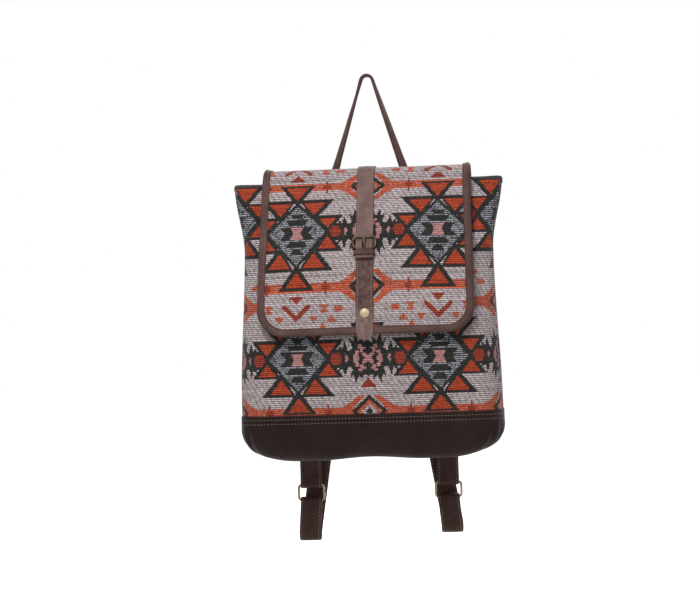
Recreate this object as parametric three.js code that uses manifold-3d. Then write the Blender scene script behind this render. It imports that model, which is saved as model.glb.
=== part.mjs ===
// A flap backpack of woven cloth with leather trim, hanging by its top handle.
// Millimetres, +Z up, +X to the viewer's right, -Y towards the viewer, who faces the flap.
// The origin is the point inside the handle's loop where a hook carries the bag.

import * as THREE from "three";
import { mergeVertices } from "three/addons/utils/BufferGeometryUtils.js";
import Module from "manifold-3d";

const wasm = await Module();
wasm.setup();

// Clearances and thicknesses
const GAP = 0.35; // between pieces that touch
const SEAM_GAP = 0.5; // between two panels that are sewn edge to edge
const CLOTH = 2.0; // woven cloth
const BASE_LEATHER = 2.2;
const LINING = 0.9;

// Body
const BODY_TOP_Z = -125;
const BODY_HEIGHT = 320;
const BODY_BACK_Y = -8.3; // back panel at the mouth
const BACK_LEAN = 6; // how far the back panel runs backwards from mouth to base
const BASE_HEIGHT = 52; // leather base, up to its seam with the cloth
const EAR_HALF_WIDTH = 156; // at the mouth
const NECK_HALF_WIDTH = 144; // a quarter of the way down
const BASE_HALF_WIDTH = 150;
const MOUTH_HALF_DEPTH = 16;
const BASE_HALF_DEPTH = 46;
const MOUTH_CORNER_RADIUS = 11;
const BASE_CORNER_RADIUS = 30;
const MOUTH_CROWN = 2; // bulge of the front face at the mouth
const BODY_CROWN = 7; // further bulge at half height
const BACK_CROWN_SHARE = 0.35;
const GUSSET_DENT = 3;
const FLOOR_EDGE_RADIUS = 16;
const FLOOR_FLAT_HALF_WIDTH = 85;
const FLOOR_CORNER_LIFT = 18;

// Flap, measured along its profile from the sewn end on the back
const FLAP_TOP_HALF_WIDTH = 119;
const FLAP_BOTTOM_HALF_WIDTH = 125;
const FLAP_BOTTOM_Z = -302;
const FLAP_BACK_Z = -158;
const FLAP_PEAK_Z = -112; // inner face, over the middle of the mouth
const FLAP_CORNER_RADIUS = 32;
const FLAP_BACK_GAP = 2.2;
const FLAP_TOP_GAP = 3;
const FLAP_FRONT_GAP = 6.5;
const FLAP_DRAPE = 5; // how far the side edges fall back towards the body
const FLAP_OUTER = LINING + GAP + CLOTH; // outer face above the profile
const BINDING_WIDTH = 9;
const BINDING_LEATHER = 1.2;
const BINDING_FOLD = 1.4;

// Closing strap with its buckle and snap
const CLOSING_WIDTH = 20;
const UPPER_STRAP = 1.8;
const LOWER_STRAP = 1.4;
const STRAP_SEAT = FLAP_OUTER + GAP; // underside of a strap that lies on the flap
const BUCKLE_BAR_RADIUS = 1.2;
const BUCKLE_WIDTH = 28;
const BUCKLE_SPAN = 12; // heel bar to top bar, centre to centre
const BUCKLE_CORNER_RADIUS = 3;
const HEEL_Z = -204.5;
const PRONG_WIDTH = 2.4;
const PRONG_EYE = 2.6;
const PRONG_THICKNESS = 2;
const SLOT_WIDTH = 4.2;
const KEEPER_START = 4.5; // below the heel bar
const KEEPER_WIDTH = 6;
const KEEPER_LEATHER = 1.3;
const TIP_DROP = 6; // strap tip below the flap's edge
const TIP_LENGTH = 9;
const TIP_WIDTH = 9;
const SNAP_Z = -278.5;
const SNAP_CAP_RADIUS = 5.5;
const SNAP_DISC_RADIUS = 8;
const SNAP_SHANK_RADIUS = 2;
const SOCKET_THICKNESS = 2.4;
const STUD_NUB_RADIUS = 1.9;

// Handle and shoulder straps
const HANDLE_WIDTH = 11;
const HANDLE_LEATHER = 3.4;
const HANDLE_INNER_RADIUS = 5.3;
const HANDLE_FOOT_X = 50;
const HANDLE_FOOT_Z = -162;
const HANDLE_BEND_Z = -140;
const HANDLE_EDGE_Z = -20; // above this the strap stands on edge
const YOKE_HALF_WIDTH = 64;
const YOKE_TOP_Z = -136;
const YOKE_BOTTOM_Z = -174;
const YOKE_LEATHER = 2.2;
const YOKE_CORNER_RADIUS = 8;
const STRAP_WIDTH = 25;
const STRAP_LEATHER = 2.6;
const STRAP_TOP_X = 27;
const STRAP_TOP_Z = -140;
const STRAP_LOW_X = 84; // at the bottom of its hanging bend
const STRAP_LOW_Z = { left: -544, right: -538 }; // the left strap is let out a little further
const STRAP_HANG_Y = 13; // where the strap hangs behind the rings
const STRAP_TAIL_Z = -526;
const TAB_X = 81;
const TAB_LEATHER = 2;
const TAB_TOP_Z = -394;
const RING_TOP_Z = -478;
const RING_SPAN = 18; // top bar to bottom bar, centre to centre
const RING_WIDTH = 33;
const RING_BAR_RADIUS = 1.45;
const RING_CORNER_RADIUS = 4;
const WRAP_CLEARANCE = 0.4; // leather folded round a bar

// Worked out from the above
const BODY_BOTTOM_Z = BODY_TOP_Z - BODY_HEIGHT;
const SEAM_Z = BODY_BOTTOM_Z + BASE_HEIGHT;
const HALF_TURN = Math.PI / 2;

// Materials, with the colours that the bag shows
const standard = (color, roughness, metalness) =>
  new THREE.MeshStandardMaterial({ color, roughness, metalness });
const wovenCloth = standard(0xb39a92, 0.95, 0);
const liningCloth = standard(0x4a4038, 0.9, 0);
const brownLeather = standard(0x6b4d47, 0.6, 0);
const darkLeather = standard(0x3a2a28, 0.6, 0);
const antiqueBrass = standard(0x8a7a55, 0.4, 0.9);
const brightBrass = standard(0xc2ab7c, 0.35, 0.9);

const vec = (x, y, z) => new THREE.Vector3(x, y, z);
const clamp01 = (x) => Math.min(1, Math.max(0, x));
const mix = (a, b, t) => a + (b - a) * t;
const ease = (x) => Math.sin(clamp01(x) * HALF_TURN);
const smooth = (x) => clamp01(x) ** 2 * (3 - 2 * clamp01(x));
const bell = (x) => Math.cos(x * HALF_TURN) ** 2;
const steps = (from, to, count) =>
  Array.from({ length: count + 1 }, (_, i) => mix(from, to, i / count));

// Closed meshes

// A geometry from points and triangles, turned so that its faces point out.
function solid(points, triangles) {
  let volume = 0;
  for (const [a, b, c] of triangles)
    volume += points[a].dot(vec().crossVectors(points[b], points[c]));
  const order = volume < 0 ? ([a, b, c]) => [a, c, b] : (t) => t;
  const geometry = new THREE.BufferGeometry().setFromPoints(points);
  geometry.setIndex(triangles.flatMap(order));
  geometry.computeVertexNormals();
  return geometry;
}

// A sheet between two grids of points. A wrapped sheet closes round its columns,
// and one with a pole closes over its last row at a point of each face.
function thickSheet(outer, inner, { wrap = false, poles = null } = {}) {
  const rows = outer.length;
  const columns = outer[0].length;
  const points = [...outer.flat(), ...inner.flat()];
  const triangles = [];
  const at = (face, i, j) => face * rows * columns + i * columns + (j % columns);
  const quad = (a, b, c, d) => triangles.push([a, b, c], [a, c, d]);
  const spans = wrap ? columns : columns - 1;
  for (let i = 0; i + 1 < rows; i++) {
    for (let j = 0; j < spans; j++) {
      quad(at(0, i, j), at(0, i, j + 1), at(0, i + 1, j + 1), at(0, i + 1, j));
      quad(at(1, i, j), at(1, i + 1, j), at(1, i + 1, j + 1), at(1, i, j + 1));
    }
    if (!wrap) {
      quad(at(0, i, 0), at(0, i + 1, 0), at(1, i + 1, 0), at(1, i, 0));
      quad(at(0, i, spans), at(1, i, spans), at(1, i + 1, spans), at(0, i + 1, spans));
    }
  }
  const last = rows - 1;
  for (let j = 0; j < spans; j++) {
    quad(at(0, 0, j + 1), at(0, 0, j), at(1, 0, j), at(1, 0, j + 1));
    if (!poles)
      quad(at(0, last, j), at(0, last, j + 1), at(1, last, j + 1), at(1, last, j));
  }
  if (poles) {
    const first = points.push(...poles) - 2;
    for (let j = 0; j < spans; j++) {
      triangles.push([at(0, last, j), at(0, last, j + 1), first]);
      triangles.push([at(1, last, j + 1), at(1, last, j), first + 1]);
    }
  }
  return solid(points, triangles);
}

// A flat profile carried along stations, where place(station, p, q) puts a profile point in space.
function sweep(profile, count, place, closed = false) {
  const sides = profile.length;
  const points = [];
  for (let i = 0; i < count; i++) for (const { x, y } of profile) points.push(place(i, x, y));
  const triangles = [];
  for (let i = 0; i < (closed ? count : count - 1); i++) {
    for (let j = 0; j < sides; j++) {
      const a = i * sides + j;
      const b = i * sides + ((j + 1) % sides);
      const c = ((i + 1) % count) * sides + ((j + 1) % sides);
      const d = ((i + 1) % count) * sides + j;
      triangles.push([a, b, c], [a, c, d]);
    }
  }
  if (!closed) {
    const end = (count - 1) * sides;
    for (const [a, b, c] of THREE.ShapeUtils.triangulateShape(profile, [])) {
      triangles.push([a, c, b], [end + a, end + b, end + c]);
    }
  }
  return solid(points, triangles);
}

const rectangle = (width, height) => [
  new THREE.Vector2(-width / 2, -height / 2),
  new THREE.Vector2(width / 2, -height / 2),
  new THREE.Vector2(width / 2, height / 2),
  new THREE.Vector2(-width / 2, height / 2),
];

const tangentAt = (path, i) =>
  vec()
    .subVectors(path[Math.min(i + 1, path.length - 1)], path[Math.max(i - 1, 0)])
    .normalize();

// The strap's width runs along X, made square to the path.
const acrossX = (along) => vec(1, 0, 0).addScaledVector(along, -along.x).normalize();

// A leather strap along a path. acrossAt gives the direction of its width, and widthAt narrows it.
function strap(path, width, thickness, { acrossAt = acrossX, widthAt = () => width } = {}) {
  const frames = path.map((origin, i) => {
    const along = tangentAt(path, i);
    const across = acrossAt(along, origin);
    return { origin, across, normal: vec().crossVectors(along, across) };
  });
  return sweep(rectangle(1, thickness), path.length, (i, p, q) =>
    frames[i].origin
      .clone()
      .addScaledVector(frames[i].across, p * widthAt(i))
      .addScaledVector(frames[i].normal, q),
  );
}

// Points on an arc in the YZ plane, from one angle to another, where 0 points along +Y.
const arcYZ = (x, y, z, radius, from, to, count) =>
  steps(from, to, count).map((a) => vec(x, y + radius * Math.cos(a), z + radius * Math.sin(a)));

// A round bar bent into a rounded rectangle in the XZ plane, centred on the origin.
function wireLoop(width, height, cornerRadius, barRadius) {
  const path = [];
  const halfWidth = width / 2 - cornerRadius;
  const halfHeight = height / 2 - cornerRadius;
  const corners = [
    [halfWidth, halfHeight, 0],
    [-halfWidth, halfHeight, 1],
    [-halfWidth, -halfHeight, 2],
    [halfWidth, -halfHeight, 3],
  ];
  for (const [x, z, quarter] of corners)
    for (const a of steps(quarter * HALF_TURN, (quarter + 1) * HALF_TURN, 4))
      path.push({ x, z, out: vec(Math.cos(a), 0, Math.sin(a)) });
  const circle = steps(0, 2 * Math.PI, 10)
    .slice(1)
    .map((a) => new THREE.Vector2(barRadius * Math.cos(a), barRadius * Math.sin(a)));
  const place = (i, p, q) =>
    vec(path[i].x, q, path[i].z).addScaledVector(path[i].out, cornerRadius + p);
  return sweep(circle, path.length, place, true);
}

// Joining and cutting

function manifoldOf(geometry) {
  const bare = geometry.index ? geometry.toNonIndexed() : geometry.clone();
  for (const name of ["normal", "uv"]) bare.deleteAttribute(name);
  const merged = mergeVertices(bare, 1e-4);
  return new wasm.Manifold(
    new wasm.Mesh({
      numProp: 3,
      vertProperties: merged.attributes.position.array,
      triVerts: new Uint32Array(merged.index.array),
    }),
  );
}

function cut(geometry, ...tools) {
  let made = manifoldOf(geometry);
  for (const tool of tools) made = made.subtract(manifoldOf(tool));
  const { vertProperties, triVerts } = made.getMesh();
  const result = new THREE.BufferGeometry();
  result.setAttribute("position", new THREE.BufferAttribute(vertProperties, 3));
  result.setIndex(new THREE.BufferAttribute(triVerts, 1));
  result.computeVertexNormals();
  return result;
}

// Body

// The body's outline at one height: a rounded rectangle with crowned faces.
function section(z) {
  const t = clamp01((BODY_TOP_Z - z) / BODY_HEIGHT);
  const ear = (EAR_HALF_WIDTH - NECK_HALF_WIDTH) * (1 - smooth(t / 0.25));
  const foot = (BASE_HALF_WIDTH - NECK_HALF_WIDTH) * smooth((t - 0.25) / 0.6);
  const halfDepth = mix(MOUTH_HALF_DEPTH, BASE_HALF_DEPTH, ease(t / 0.75));
  return {
    halfWidth: NECK_HALF_WIDTH + ear + foot,
    halfDepth,
    centreY: BODY_BACK_Y + BACK_LEAN * t - halfDepth,
    corner: mix(MOUTH_CORNER_RADIUS, BASE_CORNER_RADIUS, ease(t / 0.6)),
    crown: MOUTH_CROWN + BODY_CROWN * Math.sin(Math.PI * t),
    dent: GUSSET_DENT * Math.sin(Math.PI * t),
  };
}

// A face of the body: side -1 is the front and 1 the back. u runs from -1 to 1 across the face,
// and on to -2 and 2 round its corners.
function facePoint(z, side, u, inset) {
  const s = section(z);
  const corner = Math.max(s.corner - inset, 2);
  const faceHalf = s.halfWidth - inset - corner;
  const depth = s.halfDepth - inset;
  const crown = s.crown * (side > 0 ? BACK_CROWN_SHARE : 1);
  const turn = Math.max(Math.abs(u) - 1, 0) * HALF_TURN;
  const x = faceHalf * Math.min(Math.abs(u), 1) + corner * Math.sin(turn);
  const bulge = Math.abs(u) < 1 ? crown * bell(u) : 0;
  const y = depth - corner * (1 - Math.cos(turn)) + bulge;
  return vec(Math.sign(u) * x, s.centreY + side * y, z);
}

// A side of the body: u runs from -1 at the front seam to 1 at the back seam.
function gussetPoint(z, side, u, inset) {
  const s = section(z);
  const half = Math.max(s.halfDepth - Math.max(s.corner, inset + 2), 1);
  return vec(side * (s.halfWidth - inset - s.dent * bell(u)), s.centreY + u * half, z);
}

const faceColumns = [...steps(-2, -1, 4), ...steps(-1, 1, 10).slice(1), ...steps(1, 2, 4).slice(1)];
const gussetColumns = steps(-1, 1, 3);
const panelRows = [...steps(BODY_TOP_Z, BODY_TOP_Z - 90, 5), ...steps(BODY_TOP_Z - 125, SEAM_Z + GAP, 4)];

// The seam with the gusset stays open by a hair, so that the panels don't overlap.
function facePanel(side) {
  const open = (u) => Math.sign(u) * Math.min(Math.abs(u), 2 - SEAM_GAP / BASE_CORNER_RADIUS);
  const grid = (inset) =>
    panelRows.map((z) => faceColumns.map((u) => facePoint(z, side, open(u), inset)));
  return thickSheet(grid(0), grid(CLOTH));
}

function gussetPanel(side) {
  const grid = (inset) =>
    panelRows.map((z) => gussetColumns.map((u) => gussetPoint(z, side, u * 0.97, inset)));
  return thickSheet(grid(0), grid(CLOTH));
}

// The base's underside is flat, and rises towards its left and right corners.
const floorZ = (x) =>
  BODY_BOTTOM_Z +
  FLOOR_CORNER_LIFT *
    clamp01((Math.abs(x) - FLOOR_FLAT_HALF_WIDTH) / (BASE_HALF_WIDTH - FLOOR_FLAT_HALF_WIDTH)) ** 2;

const loopColumns = [
  ...faceColumns.slice(0, -1).map((u) => (z, inset) => facePoint(z, -1, u, inset)),
  ...gussetColumns.slice(0, -1).map((u) => (z, inset) => gussetPoint(z, 1, u, inset)),
  ...faceColumns.slice(0, -1).map((u) => (z, inset) => facePoint(z, 1, -u, inset)),
  ...gussetColumns.slice(0, -1).map((u) => (z, inset) => gussetPoint(z, -1, -u, inset)),
];

// Rings of points from topZ down the walls, round the bottom edge and in to the middle.
function bagRings(topZ, inset, wallRows) {
  const wallEnd = (column) => floorZ(column(SEAM_Z, inset).x) + FLOOR_EDGE_RADIUS;
  const bend = FLOOR_EDGE_RADIUS - inset;
  const wall = steps(0, 1, wallRows).map((q) =>
    loopColumns.map((column) => column(mix(topZ, wallEnd(column), q), inset)),
  );
  const bottomEdge = steps(0, HALF_TURN, 3).slice(1).map((angle) =>
    loopColumns.map((column) => {
      const { x, y } = column(wallEnd(column), FLOOR_EDGE_RADIUS - bend * Math.cos(angle));
      return vec(x, y, floorZ(x) + FLOOR_EDGE_RADIUS - bend * Math.sin(angle));
    }),
  );
  const rings = [...wall, ...bottomEdge];
  const edge = rings[rings.length - 1];
  const centreY = section(BODY_BOTTOM_Z).centreY;
  for (const share of [0.66, 0.33])
    rings.push(
      edge.map((p) => vec(p.x * share, mix(centreY, p.y, share), floorZ(p.x * share) + inset)),
    );
  return { rings, pole: vec(0, centreY, BODY_BOTTOM_Z + inset) };
}

function bowl(topZ, outerInset, innerInset, wallRows) {
  const outer = bagRings(topZ, outerInset, wallRows);
  const inner = bagRings(topZ, innerInset, wallRows);
  return thickSheet(outer.rings, inner.rings, { wrap: true, poles: [outer.pole, inner.pole] });
}

const leatherBase = () => bowl(SEAM_Z, 0, BASE_LEATHER, 3);
const liningInset = BASE_LEATHER + SEAM_GAP;
const liningBag = () => bowl(BODY_TOP_Z, liningInset, liningInset + LINING, 9);

// Flap

const frontY = (z) => facePoint(z, -1, 0, 0).y;
const backY = (z) => facePoint(z, 1, 0, 0).y;

// The flap's inner face in the YZ plane: up the back, over the mouth and down the front.
const flapBackY = backY(BODY_TOP_Z) + FLAP_BACK_GAP;
const mouthMiddleY = section(BODY_TOP_Z).centreY;
const flapFrontGap = (z) =>
  mix(FLAP_TOP_GAP, FLAP_FRONT_GAP, smooth((BODY_TOP_Z - z) / 80));
const flapProfile = new THREE.CatmullRomCurve3(
  [
    vec(0, flapBackY, FLAP_BACK_Z),
    vec(0, flapBackY, BODY_TOP_Z - 12),
    vec(0, flapBackY - 1.5, BODY_TOP_Z + 4),
    vec(0, mix(flapBackY, mouthMiddleY, 0.5), FLAP_PEAK_Z - 2),
    vec(0, mouthMiddleY - 2, FLAP_PEAK_Z),
    vec(0, mix(mouthMiddleY, frontY(BODY_TOP_Z), 0.65) - 2, FLAP_PEAK_Z - 4),
    ...steps(BODY_TOP_Z - 7, FLAP_BOTTOM_Z - 20, 8).map((z) => vec(0, frontY(z) - flapFrontGap(z), z)),
  ],
  false,
  "centripetal",
);
flapProfile.arcLengthDivisions = 800;
const profileLength = flapProfile.getLength();

// The distance along the profile where its front comes down to a height.
function flapAt(z) {
  let low = profileLength * 0.3;
  let high = profileLength;
  for (let i = 0; i < 40; i++) {
    const middle = (low + high) / 2;
    if (flapProfile.getPointAt(middle / profileLength).z > z) low = middle;
    else high = middle;
  }
  return low;
}
const flapEnd = flapAt(FLAP_BOTTOM_Z);
const flapTop = flapAt(FLAP_PEAK_Z - 1);

// A point on the flap: x across it, s along the profile and n out from its inner face.
function flapPoint(x, s, n) {
  const share = clamp01(s / profileLength);
  const p = flapProfile.getPointAt(share);
  const along = flapProfile.getTangentAt(share);
  const fall = FLAP_DRAPE * (x / FLAP_BOTTOM_HALF_WIDTH) ** 2 * smooth((s - flapTop) / 60);
  return vec(x, p.y + along.z * (n - fall), p.z - along.y * (n - fall));
}

// Half of the flap's width at a distance along it, kept inside its outline by an inset.
const flapHalfWidth = (s) => mix(FLAP_TOP_HALF_WIDTH, FLAP_BOTTOM_HALF_WIDTH, s / flapEnd);
const cornerStart = flapEnd - FLAP_CORNER_RADIUS;
function flapRow(s, inset) {
  const radius = FLAP_CORNER_RADIUS - inset;
  const into = clamp01((s - cornerStart) / radius);
  const edge = flapHalfWidth(Math.min(s, cornerStart));
  return edge - FLAP_CORNER_RADIUS + radius * Math.sqrt(1 - into ** 2);
}

// Rows that every piece on the flap shares, so that their facets lie parallel.
const foldRows = steps(0, flapTop + 20, 12);
const frontRows = steps(flapTop + 38, cornerStart - 18, 5);

// One layer of the flap. Its edge lies inside the binding's fold.
function flapLayer(from, to) {
  const inset = BINDING_FOLD + GAP;
  const corner = steps(0, 1, 5).map((t) => cornerStart + (FLAP_CORNER_RADIUS - inset) * ease(t));
  const rows = [...foldRows, ...frontRows, ...corner];
  const columns = steps(-1, 1, 10);
  const grid = (n) => rows.map((s) => columns.map((u) => flapPoint(u * flapRow(s, inset), s, n)));
  return cut(thickSheet(grid(to), grid(from)), snapTool(SNAP_SHANK_RADIUS + GAP));
}

// The binding's edge: down the left side, round the bottom and up the right side.
function bindingStations() {
  const side = [...foldRows, ...frontRows].map((s) => ({ x: flapHalfWidth(s), s, inX: -1, inS: 0 }));
  const corner = steps(0, HALF_TURN, 7).map((a) => ({
    x: flapHalfWidth(cornerStart) - FLAP_CORNER_RADIUS + FLAP_CORNER_RADIUS * Math.cos(a),
    s: cornerStart + FLAP_CORNER_RADIUS * Math.sin(a),
    inX: -Math.cos(a),
    inS: -Math.sin(a),
  }));
  const bottom = steps(0.6, 0, 2).map((share) => ({
    x: share * (flapHalfWidth(cornerStart) - FLAP_CORNER_RADIUS),
    s: flapEnd,
    inX: 0,
    inS: -1,
  }));
  const right = [...side, ...corner, ...bottom];
  const left = right.slice(0, -1).map((p) => ({ ...p, x: -p.x, inX: -p.inX }));
  return [...left, ...right.reverse()];
}

function flapBinding() {
  const low = -GAP;
  const high = FLAP_OUTER + GAP;
  const profile = [
    [0, low - BINDING_LEATHER],
    [BINDING_WIDTH, low - BINDING_LEATHER],
    [BINDING_WIDTH, low],
    [BINDING_FOLD, low],
    [BINDING_FOLD, high],
    [BINDING_WIDTH, high],
    [BINDING_WIDTH, high + BINDING_LEATHER],
    [0, high + BINDING_LEATHER],
  ].map(([p, q]) => new THREE.Vector2(p, q));
  const stations = bindingStations();
  return sweep(profile, stations.length, (i, p, q) => {
    const { x, s, inX, inS } = stations[i];
    return flapPoint(x + inX * p, s + inS * p, q);
  });
}

// Closing strap

// A local frame on the flap: X across, Y down the flap and Z out of it.
function flapFrame(s) {
  const along = flapProfile.getTangentAt(s / profileLength);
  const out = vec(0, along.z, -along.y);
  return new THREE.Matrix4()
    .makeBasis(vec(-1, 0, 0), along, out)
    .setPosition(flapPoint(0, s, 0));
}

const heelS = flapAt(HEEL_Z);
const snapS = flapAt(SNAP_Z);
const barSeat = BUCKLE_BAR_RADIUS + GAP; // leather folded round the heel bar starts here
const heelN = STRAP_SEAT + LOWER_STRAP + barSeat;
const topBarN = STRAP_SEAT + UPPER_STRAP + barSeat;
const foldTopN = heelN + barSeat + LOWER_STRAP;
const lowerSeatN = STRAP_SEAT + LOWER_STRAP / 2;
const doubledN = lowerSeatN + LOWER_STRAP + GAP;
const upperEndN = doubledN + LOWER_STRAP / 2 + GAP + UPPER_STRAP / 2;
const keeperInsideN = upperEndN + UPPER_STRAP / 2 + GAP;
const bindingTopN = FLAP_OUTER + GAP + BINDING_LEATHER;

// A strap that follows the flap through points given as distance along it and height above it.
function flapStrap(route, width, thickness, options) {
  return strap(route.map(([s, n]) => flapPoint(0, s, n)), width, thickness, options);
}

const boxAt = (frame, width, length, height, y, z) =>
  new THREE.BoxGeometry(width, length, height).translate(0, y, z).applyMatrix4(frame);

function snapTool(radius) {
  const height = 40;
  return new THREE.CylinderGeometry(radius, radius, height, 12)
    .rotateX(HALF_TURN)
    .applyMatrix4(flapFrame(snapS));
}

// The upper strap runs over the fold, under the buckle's top bar, over its heel bar and under the keeper.
function upperStrap() {
  const seat = STRAP_SEAT + UPPER_STRAP / 2;
  const start = 22;
  const topBarS = heelS - BUCKLE_SPAN;
  const crest = foldTopN + GAP + UPPER_STRAP / 2;
  const route = [
    ...[...foldRows, ...frontRows].filter((s) => s > start && s < topBarS - 4).map((s) => [s, seat]),
    [topBarS, seat],
    [topBarS + 3, seat + 0.8],
    [heelS - 4, crest - 0.9],
    [heelS - 1, crest],
    [heelS + 2, crest - 0.2],
    [heelS + KEEPER_START, upperEndN + 0.1],
    [heelS + KEEPER_START + KEEPER_WIDTH + 3, upperEndN],
  ];
  const slotLength = BUCKLE_SPAN + 1;
  const slot = boxAt(flapFrame(heelS), SLOT_WIDTH, slotLength, 12, 3.5 - slotLength / 2, crest - 2);
  return cut(flapStrap(route, CLOSING_WIDTH, UPPER_STRAP), slot);
}

// The lower strap is doubled round the heel bar, lies on the flap and ends in a tip below it.
function lowerStrap() {
  const radius = heelN - lowerSeatN;
  const bend = steps(HALF_TURN, 3 * HALF_TURN, 8).map((a) => [
    heelS + radius * Math.cos(a),
    heelN + radius * Math.sin(a),
  ]);
  const end = flapEnd + TIP_DROP;
  const raised = bindingTopN + GAP + LOWER_STRAP / 2;
  const rise = flapEnd - BINDING_WIDTH;
  const route = [
    [heelS + KEEPER_START + KEEPER_WIDTH + 4, doubledN],
    [heelS + KEEPER_START, doubledN],
    ...bend,
    ...steps(heelS + 6, rise - 12, 5).map((s) => [s, lowerSeatN]),
    [rise - 2, raised],
    [end - TIP_LENGTH, raised],
    [end - TIP_LENGTH / 3, raised],
    [end, raised],
  ];
  const taper = [1, 0.86, TIP_WIDTH / CLOSING_WIDTH];
  const widthAt = (i) => CLOSING_WIDTH * (taper[i - (route.length - taper.length)] ?? 1);
  const frame = flapFrame(heelS);
  const prongSlot = boxAt(frame, SLOT_WIDTH, 10, 12, 0, heelN);
  return cut(
    flapStrap(route, CLOSING_WIDTH, LOWER_STRAP, { widthAt }),
    prongSlot,
    snapTool(SNAP_SHANK_RADIUS + GAP),
  );
}

// The keeper is a band over both straps, sewn down at its two feet.
function keeper() {
  const inside = CLOSING_WIDTH / 2 + 0.6;
  const outside = inside + KEEPER_LEATHER;
  const top = keeperInsideN + KEEPER_LEATHER;
  const round = 2.2;
  const shape = new THREE.Shape();
  shape.moveTo(-outside, STRAP_SEAT);
  shape.lineTo(-outside, top - round);
  shape.absarc(-outside + round, top - round, round, Math.PI, HALF_TURN, true);
  shape.absarc(outside - round, top - round, round, HALF_TURN, 0, true);
  shape.lineTo(outside, STRAP_SEAT);
  shape.lineTo(inside, STRAP_SEAT);
  shape.lineTo(inside, keeperInsideN);
  shape.lineTo(-inside, keeperInsideN);
  shape.lineTo(-inside, STRAP_SEAT);
  const band = new THREE.ExtrudeGeometry(shape, {
    depth: KEEPER_WIDTH,
    bevelEnabled: false,
    curveSegments: 4,
  });
  band.rotateX(HALF_TURN).translate(0, KEEPER_START + KEEPER_WIDTH, 0);
  return band.applyMatrix4(flapFrame(heelS));
}

// The buckle's frame lies in the plane through its two bars.
function buckleFrame() {
  const loop = wireLoop(
    BUCKLE_WIDTH - 2 * BUCKLE_BAR_RADIUS,
    BUCKLE_SPAN,
    BUCKLE_CORNER_RADIUS,
    BUCKLE_BAR_RADIUS,
  );
  const tilt = Math.atan2(topBarN - heelN, BUCKLE_SPAN);
  loop.rotateX(-HALF_TURN).rotateX(-tilt);
  return loop.translate(0, -BUCKLE_SPAN / 2, (heelN + topBarN) / 2).applyMatrix4(flapFrame(heelS));
}

// The prong turns on the heel bar and lies over the top bar.
function buckleProng() {
  const rest = topBarN - heelN + BUCKLE_BAR_RADIUS + 0.15;
  const reach = BUCKLE_SPAN + 1.6;
  const top = rest + PRONG_THICKNESS;
  const shape = new THREE.Shape();
  shape.absarc(0, 0, PRONG_EYE, HALF_TURN + 0.1, 2 * Math.PI + 0.35, false);
  shape.lineTo(BUCKLE_SPAN * 0.6, rest);
  shape.lineTo(reach - 0.6, rest);
  shape.lineTo(reach, rest + 0.7);
  shape.lineTo(reach - 1, top);
  shape.lineTo(BUCKLE_SPAN * 0.7, top);
  const eye = new THREE.Path();
  eye.absarc(0, 0, BUCKLE_BAR_RADIUS + 0.12, 0, 2 * Math.PI, true);
  shape.holes.push(eye);
  const prong = new THREE.ExtrudeGeometry(shape, {
    depth: PRONG_WIDTH,
    bevelEnabled: false,
    curveSegments: 16,
  });
  // The shape's x runs up the flap and its y out of it.
  prong.translate(0, 0, -PRONG_WIDTH / 2);
  prong.applyMatrix4(new THREE.Matrix4().makeBasis(vec(0, -1, 0), vec(0, 0, 1), vec(-1, 0, 0)));
  return prong.translate(0, 0, heelN).applyMatrix4(flapFrame(heelS));
}

// Snap: a capped rivet through strap and flap, its socket behind the flap and its stud on the body

const turned = (outline, segments = 24) =>
  new THREE.LatheGeometry(outline.map(([r, h]) => new THREE.Vector2(r, h)), segments).rotateX(HALF_TURN);

function snapCap() {
  const seat = lowerSeatN + LOWER_STRAP / 2 + GAP;
  return turned([
    [0, -GAP],
    [SNAP_SHANK_RADIUS, -GAP],
    [SNAP_SHANK_RADIUS, seat],
    [SNAP_CAP_RADIUS, seat],
    [SNAP_CAP_RADIUS, seat + 0.7],
    [SNAP_CAP_RADIUS - 0.9, seat + 1.4],
    [SNAP_CAP_RADIUS - 2.6, seat + 1.8],
    [0, seat + 2],
  ]).applyMatrix4(flapFrame(snapS));
}

function snapSocket() {
  const top = -2 * GAP;
  const bottom = top - SOCKET_THICKNESS;
  const mouth = STUD_NUB_RADIUS + 0.5;
  return turned([
    [0, top - 0.7],
    [mouth, top - 0.7],
    [mouth, bottom],
    [SNAP_DISC_RADIUS - 0.6, bottom],
    [SNAP_DISC_RADIUS, bottom + 0.6],
    [SNAP_DISC_RADIUS, top],
    [0, top],
  ]).applyMatrix4(flapFrame(snapS));
}

function snapStud() {
  const along = flapProfile.getTangentAt(snapS / profileLength);
  const seat = -flapFrontGap(SNAP_Z) * Math.abs(along.z) + SEAM_GAP;
  return turned([
    [0, seat],
    [SNAP_DISC_RADIUS, seat],
    [SNAP_DISC_RADIUS, seat + 0.8],
    [SNAP_DISC_RADIUS - 0.7, seat + 1.4],
    [STUD_NUB_RADIUS, seat + 1.4],
    [STUD_NUB_RADIUS, seat + 2.6],
    [STUD_NUB_RADIUS - 0.5, seat + 3],
    [0, seat + 3],
  ]).applyMatrix4(flapFrame(snapS));
}

// Handle: a strap from foot to foot over the hook, turning on edge where it passes the hook

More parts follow.
